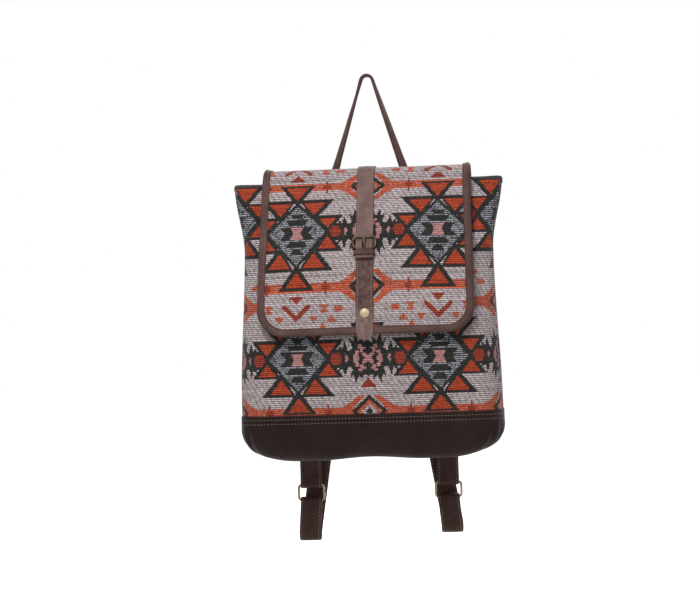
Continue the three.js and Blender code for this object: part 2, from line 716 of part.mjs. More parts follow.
function handle() {
  const radius = HANDLE_INNER_RADIUS + HANDLE_LEATHER / 2;
  const centreZ = -HANDLE_INNER_RADIUS;
  const lean = Math.atan2(HANDLE_FOOT_X - radius, centreZ - HANDLE_BEND_Z);
  const arc = steps(lean, Math.PI - lean, 10).map((a) =>
    vec(radius * Math.cos(a), 0, centreZ + radius * Math.sin(a)),
  );
  const foot = [vec(HANDLE_FOOT_X, 0, HANDLE_FOOT_Z), vec(HANDLE_FOOT_X, 0, HANDLE_BEND_Z - 4)];
  const legStart = vec(HANDLE_FOOT_X - 1, 0, HANDLE_BEND_Z + 4);
  const leg = steps(0, 0.93, 8).map((t) => vec().lerpVectors(legStart, arc[0], t));
  const right = [...foot, ...leg];
  const left = right.map((p) => vec(-p.x, p.y, p.z)).reverse();
  const path = [...right, ...arc, ...left];
  const acrossAt = (along, origin) => {
    const angle = HALF_TURN * smooth((origin.z - HANDLE_BEND_Z) / (HANDLE_EDGE_Z - HANDLE_BEND_Z));
    const outward = vec(along.z, 0, -along.x).multiplyScalar(Math.cos(angle));
    return outward.setY(Math.sin(angle));
  };
  return strap(path, HANDLE_WIDTH, HANDLE_LEATHER, { acrossAt });
}

// The yoke covers the sewn ends of the handle and the shoulder straps.
function yoke() {
  const width = YOKE_HALF_WIDTH;
  const r = YOKE_CORNER_RADIUS;
  const shape = new THREE.Shape();
  shape.moveTo(-width + r, YOKE_BOTTOM_Z);
  shape.lineTo(width - r, YOKE_BOTTOM_Z);
  shape.absarc(width - r, YOKE_BOTTOM_Z + r, r, -HALF_TURN, 0, false);
  shape.absarc(width - r, YOKE_TOP_Z - r, r, 0, HALF_TURN, false);
  shape.absarc(-width + r, YOKE_TOP_Z - r, r, HALF_TURN, Math.PI, false);
  shape.absarc(-width + r, YOKE_BOTTOM_Z + r, r, Math.PI, 3 * HALF_TURN, false);
  const patch = new THREE.ExtrudeGeometry(shape, {
    depth: YOKE_LEATHER,
    bevelEnabled: false,
    curveSegments: 6,
  });
  const seat = HANDLE_LEATHER / 2 + GAP;
  return patch.rotateX(HALF_TURN).translate(0, seat + YOKE_LEATHER, 0);
}

// Shoulder straps, their rings and tabs. Each is drawn for the right side and mirrored by its sign.

function backFaceY(x, z) {
  const s = section(z);
  return facePoint(z, 1, x / (s.halfWidth - s.corner), 0).y;
}
const tabFaceY = backFaceY(TAB_X, BODY_BOTTOM_Z + FLOOR_EDGE_RADIUS + 6);
const tabInnerY = tabFaceY + GAP + TAB_LEATHER / 2;
const ringY = tabInnerY + TAB_LEATHER / 2 + GAP / 2;
const ringBottomZ = RING_TOP_Z - RING_SPAN;

// The tab is doubled round the ring's top bar, its two layers sewn to the back of the base.
function strapTab(side) {
  const radius = RING_BAR_RADIUS + WRAP_CLEARANCE + TAB_LEATHER / 2;
  const x = side * TAB_X;
  const outerY = tabInnerY + TAB_LEATHER + GAP;
  const open = RING_TOP_Z + 12;
  const path = [
    vec(x, tabInnerY, TAB_TOP_Z),
    vec(x, tabInnerY, open + 6),
    vec(x, tabInnerY - 0.3, open),
    ...arcYZ(x, ringY, RING_TOP_Z, radius, Math.PI, 2 * Math.PI, 8),
    vec(x, outerY + 0.3, open),
    vec(x, outerY, open + 6),
    vec(x, outerY, TAB_TOP_Z + 6),
  ];
  return strap(path, STRAP_WIDTH, TAB_LEATHER);
}

function strapRing(side) {
  const loop = wireLoop(RING_WIDTH - 2 * RING_BAR_RADIUS, RING_SPAN, RING_CORNER_RADIUS, RING_BAR_RADIUS);
  return loop.translate(side * TAB_X, ringY, (RING_TOP_Z + ringBottomZ) / 2);
}

// The strap leaves the yoke, hangs behind the bag, bends up again below the base and is doubled
// round the ring's bottom bar.
function shoulderStrap(side, lowZ) {
  const wrap = RING_BAR_RADIUS + WRAP_CLEARANCE + STRAP_LEATHER / 2;
  const frontLegY = ringY - wrap;
  const bend = (STRAP_HANG_Y - frontLegY) / 2;
  const bendZ = lowZ + bend + STRAP_LEATHER / 2;
  const xAt = (z) => side * mix(STRAP_LOW_X, STRAP_TOP_X, clamp01((z - bendZ) / (YOKE_BOTTOM_Z - bendZ)));
  const legX = (z) => side * mix(STRAP_LOW_X, TAB_X, clamp01((z - bendZ) / (ringBottomZ - bendZ)));
  const hang = [
    [STRAP_TOP_Z, 0],
    [YOKE_BOTTOM_Z, 0],
    [YOKE_BOTTOM_Z - 18, 2.2],
    [-225, 5],
    [-280, 7.5],
    [-340, 9.5],
    [-400, 11.5],
    [-445, 12.6],
    [-490, STRAP_HANG_Y],
  ].map(([z, y]) => vec(xAt(z), y, z));
  const turn = arcYZ(0, (STRAP_HANG_Y + frontLegY) / 2, bendZ, bend, 0, -Math.PI, 12);
  for (const p of turn) p.x = side * STRAP_LOW_X;
  const tailY = frontLegY + STRAP_LEATHER + GAP;
  const path = [
    ...hang,
    ...turn,
    ...steps(bendZ + 10, ringBottomZ - 6, 3).map((z) => vec(legX(z), frontLegY, z)),
    ...arcYZ(side * TAB_X, ringY, ringBottomZ, wrap, Math.PI, 0, 8),
    vec(legX(ringBottomZ - 6), ringY + wrap - 0.6, ringBottomZ - 6),
    vec(legX(ringBottomZ - 14), tailY + 0.4, ringBottomZ - 14),
    vec(legX(STRAP_TAIL_Z), tailY, STRAP_TAIL_Z),
  ];
  return strap(path, STRAP_WIDTH, STRAP_LEATHER);
}

// The bag

const bag = new THREE.Group();
function add(name, geometry, material) {
  const mesh = new THREE.Mesh(geometry, material);
  mesh.name = name;
  bag.add(mesh);
}

add("front_panel", facePanel(-1), wovenCloth);
add("back_panel", facePanel(1), wovenCloth);
add("left_gusset", gussetPanel(-1), wovenCloth);
add("right_gusset", gussetPanel(1), wovenCloth);
add("leather_base", leatherBase(), darkLeather);
add("lining", liningBag(), liningCloth);
add("flap", flapLayer(LINING + GAP, FLAP_OUTER), wovenCloth);
add("flap_lining", flapLayer(0, LINING), liningCloth);
add("flap_binding", flapBinding(), brownLeather);
add("closing_strap_upper", upperStrap(), brownLeather);
add("closing_strap_lower", lowerStrap(), brownLeather);
add("strap_keeper", keeper(), brownLeather);
add("buckle_frame", buckleFrame(), antiqueBrass);
add("buckle_prong", buckleProng(), antiqueBrass);
add("snap_cap", snapCap(), brightBrass);
add("snap_socket", snapSocket(), antiqueBrass);
add("snap_stud", snapStud(), antiqueBrass);
add("handle", handle(), brownLeather);
add("strap_yoke", yoke(), darkLeather);
for (const [name, side] of [
  ["left", -1],
  ["right", 1],
]) {
  add(`shoulder_strap_${name}`, shoulderStrap(side, STRAP_LOW_Z[name]), darkLeather);
  add(`strap_ring_${name}`, strapRing(side), antiqueBrass);
  add(`strap_tab_${name}`, strapTab(side), darkLeather);
}

export default bag;
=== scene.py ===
import math

import bpy
import numpy as np
from mathutils import Matrix, Vector


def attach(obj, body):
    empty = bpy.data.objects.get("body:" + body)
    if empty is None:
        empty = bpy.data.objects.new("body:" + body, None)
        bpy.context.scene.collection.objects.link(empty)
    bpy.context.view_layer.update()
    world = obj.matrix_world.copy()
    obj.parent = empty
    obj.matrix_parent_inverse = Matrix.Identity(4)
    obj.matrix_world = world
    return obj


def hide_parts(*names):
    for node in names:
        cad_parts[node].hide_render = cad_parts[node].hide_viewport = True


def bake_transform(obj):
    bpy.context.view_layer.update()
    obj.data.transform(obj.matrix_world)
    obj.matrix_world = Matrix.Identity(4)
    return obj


# The looks of a flap backpack: woven panels, leather trim, stitching and brass, built round its frame.
# Shapes are worked out in millimetres in the frame's axes, and become metres where a mesh is made.

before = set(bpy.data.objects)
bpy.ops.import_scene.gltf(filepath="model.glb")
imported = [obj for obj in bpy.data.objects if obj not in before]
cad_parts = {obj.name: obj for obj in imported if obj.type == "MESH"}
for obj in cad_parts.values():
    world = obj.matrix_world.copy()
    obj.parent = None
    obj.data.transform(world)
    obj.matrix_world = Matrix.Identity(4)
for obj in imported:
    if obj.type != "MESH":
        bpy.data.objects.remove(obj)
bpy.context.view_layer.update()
MM = 0.001
HALF_TURN = math.pi / 2
rng = np.random.default_rng(11)

# Body
BODY_TOP_Z = -125
BODY_HEIGHT = 320
BODY_BOTTOM_Z = BODY_TOP_Z - BODY_HEIGHT
SEAM_Z = BODY_BOTTOM_Z + 52
FLOOR_EDGE_RADIUS = 16
BASE_OVERLAP = 0.9  # how far the leather stands proud of the cloth at the seam
LINING_INSET = 3.2
WAIST_HALF_WIDTH = 144
EAR_FLARE = 12
BASE_FLARE = 6
HALF_DEPTHS = (16, 46)  # at the mouth and at the base
CORNERS = (11, 30)
BACK_Y = -8.3
BACK_LEAN = 6
SIDE_LENGTHS = (330, 34, 330, 34)  # round the body: front, right, back and left
SIDES = (("left", -1), ("right", 1))

# Flap. S runs along it, and N out from its inner face.
FLAP_BOTTOM_Z = -302
FLAP_TOP_HALF = 119
FLAP_HALF = 125
FLAP_CORNER_RADIUS = 32
FLAP_DRAPE = 5
FLAP_OUTER = 3.25
FLAP_INSET = 2  # from its outline to its cloth's edge, under the binding
BINDING_WIDTH = 9
BINDING_TOP_N = 4.8
BINDING_STITCH = 6.2

# Closing strap
CLOSING_WIDTH = 20
CLOSING_GROOVE = 2.2
UPPER_LEATHER = 1.8
LOWER_LEATHER = 1.4
KEEPER_LEATHER = 1.3
CLEAR = 0.35  # between pieces that lie on each other
HEEL_Z = -204.5
SNAP_Z = -278.5
STRAP_SEAT = 3.6
HEEL_N = 6.55
TOP_BAR_N = 6.95
BUCKLE_WIDTH = 28
BUCKLE_SPAN = 12
BUCKLE_BAR = 1.2
LOWER_SEAT_N = 4.3
DOUBLED_N = 6.05
UPPER_END_N = 8.0
KEEPER_START = 4.5
KEEPER_WIDTH = 6
FOLD_TOP_N = HEEL_N + 1.55 + LOWER_LEATHER
SLOT_WIDTH = 4.2

# Handle and yoke: width, thickness or height, and the distance of the stitches from the edge
HANDLE = (11, 3.4, 1.9)
YOKE_WIDTH = 128
YOKE_HEIGHT = 38
YOKE_STITCH = 2.8

# Shoulder straps
STRAP_WIDTH = 25
STRAP_LEATHER = 2.6
TAB_LEATHER = 2
STRAP_TOP_X = 27
STRAP_TOP_Z = -174
STRAP_LOW_X = 84
STRAP_BACK_Y = 13
STRAP_LOW_Z = {"left": -544, "right": -538}
TAB_X = 81
RING_Y = 0.105
RING_TOP_Z = -478
RING_BOTTOM_Z = -496
RING_BAR = 1.45
RING_WIDTH = 33

# Weave: one thread cell, and the pattern chart's unit
PICK = 1.15
WARP = 1.1
CHART_X = 1.175
CHART_Y = 1.137
FLAP_STRETCH = 1.12  # the flap's chart, below its row of diamonds
FLAP_CROWD = 0.95  # and above it
REPEAT_X = 138
REPEAT_Y = 282
BODY_ROW_Z = -328.4  # height of a row of diamonds on the body
FLAP_ROW_Z = -184  # and on the flap


def mix(a, b, t):
    return a + (b - a) * t


def clamp01(x):
    return np.clip(x, 0, 1)


def smooth(x):
    x = clamp01(x)
    return x * x * (3 - 2 * x)


def ease(x):
    return np.sin(clamp01(x) * HALF_TURN)


def bell(x):
    return np.cos(x * HALF_TURN) ** 2


def xyz(x, y, z):
    return np.stack(np.broadcast_arrays(x, y, z), -1).astype(float)


def pairs(a, b):
    return np.stack(np.broadcast_arrays(a, b), -1)


def circle(count):
    """Angles of evenly spaced points round a circle."""
    return np.arange(count) * 2 * math.pi / count


def lengths(line):
    """The distance along a line at each of its points."""
    return np.concatenate([[0], np.cumsum(np.linalg.norm(np.diff(line, axis=0), axis=1))])


def read_at(places, run, values):
    """Each column of values, read at places along a run."""
    return np.stack([np.interp(places, run, column) for column in values.T], -1)


# Materials

def node_material(name):
    """A new material with its node tree and its Principled shader."""
    material = bpy.data.materials.new(name)
    material.use_nodes = True
    tree = material.node_tree
    return material, tree, tree.nodes["Principled BSDF"]


def plug(tree, node, inputs):
    """Links sockets to a node's inputs, and sets its other inputs to values."""
    for key, value in dict(inputs).items():
        if isinstance(value, bpy.types.NodeSocket):
            tree.links.new(value, node.inputs[key])
        else:
            node.inputs[key].default_value = value


def add_node(tree, kind, inputs=(), **settings):
    node = tree.nodes.new(f"ShaderNode{kind}")
    for key, value in settings.items():
        setattr(node, key, value)
    plug(tree, node, inputs)
    return node


def object_place(tree):
    return add_node(tree, "TexCoord").outputs["Object"]


def noise(tree, scale, detail=3, roughness=0.6):
    inputs = {"Vector": object_place(tree), "Scale": scale, "Detail": detail, "Roughness": roughness}
    return add_node(tree, "TexNoise", inputs).outputs["Fac"]


def ramp(tree, value, low, high, a, b):
    """Maps value from low..high to a..b."""
    inputs = {"Value": value, "From Min": low, "From Max": high, "To Min": a, "To Max": b}
    return add_node(tree, "MapRange", inputs).outputs["Result"]


def math_node(tree, operation, a, b=0.0):
    return add_node(tree, "Math", {0: a, 1: b}, operation=operation).outputs[0]


def tint(tree, colour, other, share, blend="MIX"):
    """Mixes two colours. The node's colour sockets are 6 and 7 in, and 2 out."""
    node = add_node(tree, "Mix", {"Factor": share}, data_type="RGBA", blend_type=blend)
    for key, value in ((6, colour), (7, other)):
        plug(tree, node, {key: value if isinstance(value, bpy.types.NodeSocket) else (*value, 1)})
    return node.outputs[2]


def bump(tree, shader, height, strength, distance):
    node = add_node(tree, "Bump", {"Height": height, "Strength": strength, "Distance": distance})
    tree.links.new(node.outputs["Normal"], shader.inputs["Normal"])


def cloth_material(name, sheen, pick, warp):
    """Woven cloth. The mesh brings its colours, thread by thread, and the cut's millimetres its ribs."""
    material, tree, shader = node_material(name)
    threads = add_node(tree, "Attribute", attribute_name="Weave").outputs["Color"]
    cut = add_node(tree, "SeparateXYZ", {0: add_node(tree, "UVMap", uv_map="Cut").outputs["UV"]})
    fibre = noise(tree, 1400, 2)
    patches = noise(tree, 22)
    colour = tint(tree, threads, (0.35, 0.32, 0.31), ramp(tree, fibre, 0.35, 0.75, 0.0, 0.22), "MULTIPLY")
    colour = tint(tree, colour, (1.0, 0.97, 0.95), ramp(tree, patches, 0.3, 0.8, 0.0, 0.12), "SOFT_LIGHT")
    per_mm = 1000 * 2 * math.pi
    picks = math_node(tree, "SINE", math_node(tree, "MULTIPLY", cut.outputs[1], per_mm / pick))
    ends = math_node(tree, "SINE", math_node(tree, "MULTIPLY", cut.outputs[0], per_mm / warp))
    weave = math_node(tree, "MULTIPLY_ADD", picks, 0.5)
    weave = math_node(tree, "ADD", weave, math_node(tree, "MULTIPLY", ends, 0.25))
    weave = math_node(tree, "ADD", weave, fibre)
    bump(tree, shader, weave, 0.5, 0.00045)
    plug(tree, shader, {
        "Base Color": colour,
        "Roughness": ramp(tree, fibre, 0.2, 0.8, 0.82, 0.98),
        "Sheen Weight": sheen,
        "Sheen Roughness": 0.5,
        "Specular IOR Level": 0.15,
    })
    return material


def leather_material(name, colour, worn_and_shaded, roughness, grain):
    """Matt leather with pebbled grain, cloudy dye, and a second colour in random patches and where the mesh
    weights it: scuffing where that colour is lighter, painted shade along rounded edges where it is darker.
    """
    material, tree, shader = node_material(name)
    clouds = noise(tree, 38, 4)
    mottle = noise(tree, 210)
    edge = add_node(tree, "Attribute", attribute_name="WearAndShade").outputs["Fac"]
    place = {"Vector": object_place(tree), "Scale": grain}
    pebbles = add_node(tree, "TexVoronoi", place, feature="DISTANCE_TO_EDGE").outputs["Distance"]
    dark = tuple(0.55 * c for c in colour)
    dyed = tint(tree, colour, dark, ramp(tree, clouds, 0.35, 0.7, 0.0, 1.0))
    dyed = tint(tree, dyed, worn_and_shaded, ramp(tree, mottle, 0.45, 0.8, 0.0, 0.4))
    # The second colour where the mesh weights it: scuffing on the dark leathers, painted shade along the
    # edges of the brown ones.
    rubbed_and_shaded = math_node(tree, "MULTIPLY", edge, ramp(tree, mottle, 0.3, 0.7, 0.35, 1.0))
    cells = ramp(tree, pebbles, 0.0, 0.25, 0.0, 1.0)
    height = math_node(tree, "ADD", cells, math_node(tree, "MULTIPLY", mottle, 1.2))
    bump(tree, shader, height, 0.35, 0.00025)
    plug(tree, shader, {
        "Base Color": tint(tree, dyed, worn_and_shaded, rubbed_and_shaded),
        "Roughness": ramp(tree, clouds, 0.3, 0.7, roughness, roughness + 0.16),
        "Specular IOR Level": 0.1,
    })
    return material


def brass_material(name, colour, tarnish, roughness, share):
    """Brass with cloudy tarnish and fine scratches."""
    material, tree, shader = node_material(name)
    clouds = noise(tree, 260, 5, 0.65)
    bump(tree, shader, noise(tree, 2600, 2), 0.12, 0.0001)
    aged = ramp(tree, clouds, 0.62 - share, 0.72 - share / 3, 0.0, 1.0)
    plug(tree, shader, {
        "Base Color": tint(tree, colour, tarnish, aged),
        "Roughness": ramp(tree, clouds, 0.3, 0.7, roughness, roughness + 0.2),
        "Metallic": 1,
    })
    return material


def thread_material(name, colour):
    """Waxed sewing thread, with its plies as fine slanting ribs."""
    material, tree, shader = node_material(name)
    place = {"Vector": object_place(tree), "Scale": 700, "Distortion": 2.0}
    plies = add_node(tree, "TexWave", place, bands_direction="DIAGONAL").outputs["Fac"]
    dark = tuple(0.4 * c for c in colour)
    bump(tree, shader, plies, 0.4, 0.0001)
    plug(tree, shader, {
        "Base Color": tint(tree, colour, dark, ramp(tree, plies, 0.0, 1.0, 0.0, 0.45)),
        "Roughness": 0.7,
    })
    return material


woven = cloth_material("woven_cloth", 0.12, PICK, WARP)
cotton = cloth_material("lining_cotton", 0.08, 0.6, 0.6)
# The brown and closing leathers' second colour is a darker copy of their own: painted shade along their
# rounded edges, and darker patches in the dye.
brown_leather = leather_material("brown_leather", (0.115, 0.062, 0.056), (0.066, 0.036, 0.032), 0.52, 900)
strap_leather = leather_material("closing_leather", (0.2, 0.125, 0.115), (0.115, 0.07, 0.063), 0.5, 950)
faded_leather = leather_material("faded_leather", (0.09, 0.047, 0.041), (0.25, 0.17, 0.152), 0.5, 950)
dark_leather = leather_material("dark_leather", (0.052, 0.0255, 0.0222), (0.095, 0.055, 0.048), 0.48, 700)
base_hide = leather_material("base_leather", (0.0165, 0.0083, 0.0072), (0.024, 0.013, 0.0112), 0.5, 620)
antique_brass = brass_material("antique_brass", (0.27, 0.215, 0.125), (0.07, 0.052, 0.032), 0.38, 0.16)
dark_brass = brass_material("dark_brass", (0.09, 0.069, 0.043), (0.02, 0.015, 0.011), 0.34, 0.14)
bright_brass = brass_material("bright_brass", (0.34, 0.275, 0.18), (0.2, 0.158, 0.1), 0.5, 0.05)
pale_thread = thread_material("pale_thread", (0.21, 0.15, 0.115))
strap_thread = thread_material("strap_thread", (0.3, 0.22, 0.175))
brown_thread = thread_material("brown_thread", (0.15, 0.1, 0.082))


# Meshes

def make(name, points, faces, material, inside=None, facing=1, uv=None, colours=None, wear_and_shade=None):
    """A mesh object from points in millimetres, its faces turned away from a point inside it."""
    points = np.asarray(points, float).reshape(-1, 3)
    faces = [list(f) for f in faces]
    first = np.array([f[:3] for f in faces])
    a, b, c = (points[first[:, k]] for k in range(3))
    normal = np.cross(b - a, c - a)
    if inside is None:
        turned = (normal * a).sum() < 0
    else:
        turned = facing * (normal * (a - np.asarray(inside, float))).sum() < 0
    if turned:
        faces = [f[::-1] for f in faces]
    mesh = bpy.data.meshes.new(name)
    mesh.from_pydata((points * MM).tolist(), [], faces)
    corners = np.concatenate([np.asarray(f) for f in faces])
    if uv is not None:
        layer = mesh.uv_layers.new(name="Cut")
        layer.uv.foreach_set("vector", (uv[corners] * MM).astype(np.float32).ravel())
    if colours is not None:
        spread = np.repeat(colours, [len(f) for f in faces], axis=0)
        spread = np.concatenate([spread, np.ones((len(spread), 1))], 1)
        layer = mesh.color_attributes.new("Weave", "FLOAT_COLOR", "CORNER")
        layer.data.foreach_set("color", spread.astype(np.float32).ravel())
    # Weights for the leather's second colour: scuffing on some pieces, painted edge shade on others.
    layer = mesh.attributes.new("WearAndShade", "FLOAT", "POINT")
    values = np.zeros(len(points)) if wear_and_shade is None else np.asarray(wear_and_shade, float).ravel()
    layer.data.foreach_set("value", values.astype(np.float32))
    mesh.polygons.foreach_set("use_smooth", [True] * len(faces))
    mesh.materials.append(material)
    obj = bpy.data.objects.new(name, mesh)
    bpy.context.scene.collection.objects.link(obj)
    return obj


def grid_faces(rows, columns, wrap=False):
    spans = columns if wrap else columns - 1
    i, j = np.meshgrid(np.arange(rows - 1), np.arange(spans), indexing="ij")
    k = (j + 1) % columns
    quads = [i * columns + j, i * columns + k, (i + 1) * columns + k, (i + 1) * columns + j]
    return np.stack(quads, -1).reshape(-1, 4)


def tube_faces(rows, sides, open_start=False):
    """The faces of a wrapped grid whose last ring is filled, and its first unless that stays open."""
    first, last = list(range(sides))[::-1], list(range((rows - 1) * sides, rows * sides))
    return grid_faces(rows, sides, True).tolist() + ([last] if open_start else [first, last])


def dress(obj, body, slot, *nodes):
    """The piece moves with a body and stands for CAD nodes. Its slot is not used."""
    if body:
        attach(obj, body)
    if nodes:
        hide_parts(*nodes)
    return obj


# Pattern: stepped diamonds, stars and bands, as shapes on a chart that mirrors about each motif's middle.
# x runs across and y along the cloth, both in chart units from the motif's middle.

PALETTE = {
    "cream": (0.405, 0.35, 0.352),
    "black": (0.017, 0.017, 0.016),
    "orange": (0.385, 0.053, 0.021),
    "red": (0.27, 0.04, 0.024),
    "band": (0.47, 0.095, 0.049),
    "pink": (0.42, 0.2, 0.2),
    "hatch": (0.32, 0.325, 0.36),
}
COLOURS = np.array(list(PALETTE.values()))
CODE = {name: k for k, name in enumerate(PALETTE)}
# Painted light and shade of a rib: how much a colour's threads are brightened on the raised row and darkened
# on the sunken row. The hatch's dark rows are its own black threads, not shade.
WARM_RIB = (1.15, 0.5)
RIBS = {"cream": (1.48, 0.47), "black": (1.0, 1.0), "hatch": (1.0, 0.06)}
RIB_LIGHT = np.array([RIBS.get(name, WARM_RIB) for name in PALETTE])
TWILL_STEP = 6
TWILL_SHADE = {0: 0.56, 1: 0.84}

DIAMOND = [
    ("black", [(-1, 37), (31.6, 0), (-1, -9)]),
    ("hatch", [(-1, 33), (28, 0), (-1, -9)]),
    ("black", [(-1, -1), (11, -1), (17, 7), (-1, 7)]),
    ("black", [(-1, 8.8), (7.5, 8.8), (11, 14.2), (-1, 14.2)]),
    ("black", [(-1, 16.5), (3.4, 16.5), (7, 22), (-1, 22)]),
    ("black", [(-1, 31.5), (1, 31.5), (17.2, 55), (-1, 55)]),
    ("orange", [(-1, 38.5), (0.2, 38.5), (11, 52.8), (-1, 52.8)]),
    ("black", [(30, -1.5), (45.5, 18.8), (16.2, 18.8)]),
    ("orange", [(30.3, 4.4), (39, 16.2), (21.2, 16.2)]),
    ("black", [(16.2, 13.2), (36.5, 37.6), (2.2, 37.6)]),
    ("orange", [(16.6, 20), (28, 34.4), (6.4, 34.4)]),
    ("black", [(29, -1), (47.5, -1), (46.5, 3), (43, 9), (34, 9), (29.5, 2)]),
    ("red", [(32, -1), (43.8, -1), (43.8, 0.5), (41.2, 6), (35, 6), (32.2, 1)]),
]
HOURGLASS = [(-1, -1), (3.2, -1), (6.5, 6.3), (-1, 6.3)]
SQUARE = [(-1, -1), (6.2, -1), (6.2, 6), (-1, 6)]
STAR = [
    ("black", [(-1, -1), (18, -1), (17, 8), (15, 10.5), (18, 20.5), (14, 16),
               (12.6, 25), (9, 17), (5, 21), (4, 15.5), (-1, 19)]),
    ("black", [(15, -1), (27.5, -1), (26, 5), (30, 14), (24.5, 9.5), (22.5, 18), (19.2, 8), (15, 9)]),
    ("pink", [(8.2, -1), (14, -1), (14, 4), (12, 4), (12, 8),
              (8.2, 8), (8.2, 5.2), (9.8, 5.2), (9.8, 2.2), (8.2, 2.2)]),
    ("pink", [(2.4, 8.6), (4.4, 8.6), (4.4, 6.4), (7.2, 6.4), (7.2, 10),
              (9, 10), (9, 13.6), (5.4, 13.6), (5.4, 11), (2.4, 11)]),
    ("pink", [(-1, -1), (2.2, -1), (6.4, 4.2), (4.2, 6.2), (-1, 2.2)]),
    ("pink", [(18.4, -1), (23.8, -1), (21, 4.4)]),
    ("red", [(-1, 19.6), (0.4, 19.6), (8, 29.2), (-1, 29.2)]),
]
# From the middle of a band and the nearest star's column
BAND = [
    ("band", [(-1, -1), (70, -1), (70, 4.3), (-1, 4.3)]),
    ("band", [(29, 3), (20, 8), (10, 16), (5, 15), (13, 6), (18, -1), (29, -1)]),
    ("red", [(39, -1), (41, -1), (41, 7), (39, 7)]),
    ("red", [(36.5, -1), (43.5, -1), (43.5, 2.4), (36.5, 2.4)]),
    ("black", [(-1, -2), (18, -0.5), (-1, 17.5)]),
    ("band", [(-1, -2), (13, -0.5), (-1, 12.5)]),
    ("cream", [(-1, -2), (8.6, -0.5), (-1, 8.2)]),
    ("black", [(-1, -2), (4.6, -0.5), (-1, 4.4)]),
]
# Outwards from a band, in the nearest diamond's column
ARROWS = [
    ("red", [(-1, 7.7), (7.8, 7.7), (0.4, 14.6), (-1, 14.6)]),
    ("red", [(9.2, 16.5), (13.2, 14.4), (14, 18), (0.4, 30.5), (-1, 30.5), (-1, 24.5), (0.6, 24.5)]),
    ("band", [(22, 15.5), (32, 15.5), (28.5, 19.5), (32, 23.5), (22, 23.5), (25.5, 19.5)]),
    ("band", [(37, 18), (45, 16.5), (46, 21.5), (38, 23)]),
    ("band", [(34, 25), (39, 31.5), (29, 31.5)]),
    ("band", [(12, 25.5), (21.5, 25.5), (16.8, 32.5)]),
    ("band", [(26, 31.5), (30, 37.5), (22, 37.5)]),
]
BAND_Y = 53


def inside_outline(outline, x, y):
    found = np.zeros(x.shape, bool)
    for (ax, ay), (bx, by) in zip(outline, outline[1:] + outline[:1]):
        if ay != by:
            found ^= ((ay > y) != (by > y)) & (x < (bx - ax) * (y - ay) / (by - ay) + ax)
    return found


def chart_codes(x, y):
    """The colour of each place on the chart, where (0, 0) is the middle of a star between two diamonds."""
    x = np.abs((x + REPEAT_X / 2) % REPEAT_X - REPEAT_X / 2)
    y = np.abs((y + REPEAT_Y / 2) % REPEAT_Y - REPEAT_Y / 2)
    other_x, other_y = REPEAT_X / 2 - x, REPEAT_Y / 2 - y
    codes = np.zeros(x.shape, int)
    layers = [(BAND, x, np.abs(y - BAND_Y)), (ARROWS, other_x, y - BAND_Y)]
    layers += [(STAR, x, y), (STAR, other_x, other_y)]
    layers += [(DIAMOND + [("pink", HOURGLASS)], other_x, y), (DIAMOND + [("orange", SQUARE)], x, other_y)]
    for shapes, u, v in layers:
        for name, outline in shapes:
            codes[inside_outline(outline, u, v)] = CODE[name]
    return codes


def thread_colours(x, y):
    """The colour of each thread cell of a grid, from its place on the cloth in millimetres."""
    codes = chart_codes(x / CHART_X, y / CHART_Y)
    rows, columns = np.indices(codes.shape)
    cream, black, band, hatch = (codes == CODE[name] for name in ("cream", "black", "band", "hatch"))

    def some(cells, share):
        return cells & (rng.random(codes.shape) < share)

    wander = np.cumsum(rng.random(codes.shape[0]) < 0.3)[:, None]
    twill = (columns - rows + wander) % TWILL_STEP
    # Painted light on each rib's raised row and painted shade on its sunken row.
    lit = RIB_LIGHT[codes, rows % 2]
    for step, shade in TWILL_SHADE.items():
        lit[cream & (twill == step)] *= shade
    lit[some(hatch & (rows % 2 == 0), 0.24)] = 0.2
    lit *= 1 + 0.1 * rng.standard_normal(codes.shape[:1])[:, None]
    lit *= 1 + 0.2 * rng.standard_normal(codes.shape)
    made = COLOURS[codes] * np.clip(lit, 0.08, 1.9)[..., None]
    made[some(cream, 0.08)] *= (0.75, 0.55, 0.6)
    made[some(band, 0.03)] = COLOURS[CODE["cream"]] * 0.7
    made[some(black, 0.07)] = (0.05, 0.048, 0.047)
    return np.clip(made, 0, 0.9)


def woven_sheet(name, points, cut, chart, inside):
    """A grid of cloth with a thread's colour on each face. Faces without area are left out."""
    rows, columns = points.shape[:2]
    quads = grid_faces(rows, columns)
    middle = chart.reshape(-1, 2)[quads].mean(1).reshape(rows - 1, columns - 1, 2)
    colours = thread_colours(middle[..., 0], middle[..., 1]).reshape(-1, 3)
    corners = points.reshape(-1, 3)[quads]
    one, other = corners[:, 2] - corners[:, 0], corners[:, 3] - corners[:, 1]
    area, across, along = (np.linalg.norm(v, axis=1) for v in (np.cross(one, other), one, other))
    kept = area > 0.02 * across * along
    return make(name, points, quads[kept], woven, inside, uv=cut.reshape(-1, 2), colours=colours[kept])


def plain_sheet(name, points, cut, inside, colour, facing=1, faces=None):
    """A grid of lining cotton in one colour, a little different from face to face."""
    quads = grid_faces(*points.shape[:2]) if faces is None else faces
    shade = 1 + 0.1 * rng.standard_normal(len(quads))
    colours = np.asarray(colour) * shade[:, None]
    return make(name, points, quads, cotton, inside, facing, cut.reshape(-1, 2), colours)


# Body

class Section:
    """The body's outline at each height: a rounded rectangle with crowned faces."""

    def __init__(self, z):
        t = clamp01((BODY_TOP_Z - np.asarray(z, float)) / BODY_HEIGHT)
        ears, base = 1 - smooth(t / 0.25), smooth((t - 0.25) / 0.6)
        self.half_width = WAIST_HALF_WIDTH + EAR_FLARE * ears + BASE_FLARE * base
        self.half_depth = mix(*HALF_DEPTHS, ease(t / 0.75))
        self.centre_y = BACK_Y + BACK_LEAN * t - self.half_depth
        self.corner = mix(*CORNERS, ease(t / 0.6))
        self.crown = 2 + 7 * np.sin(math.pi * t)
        self.dent = 3 * np.sin(math.pi * t)


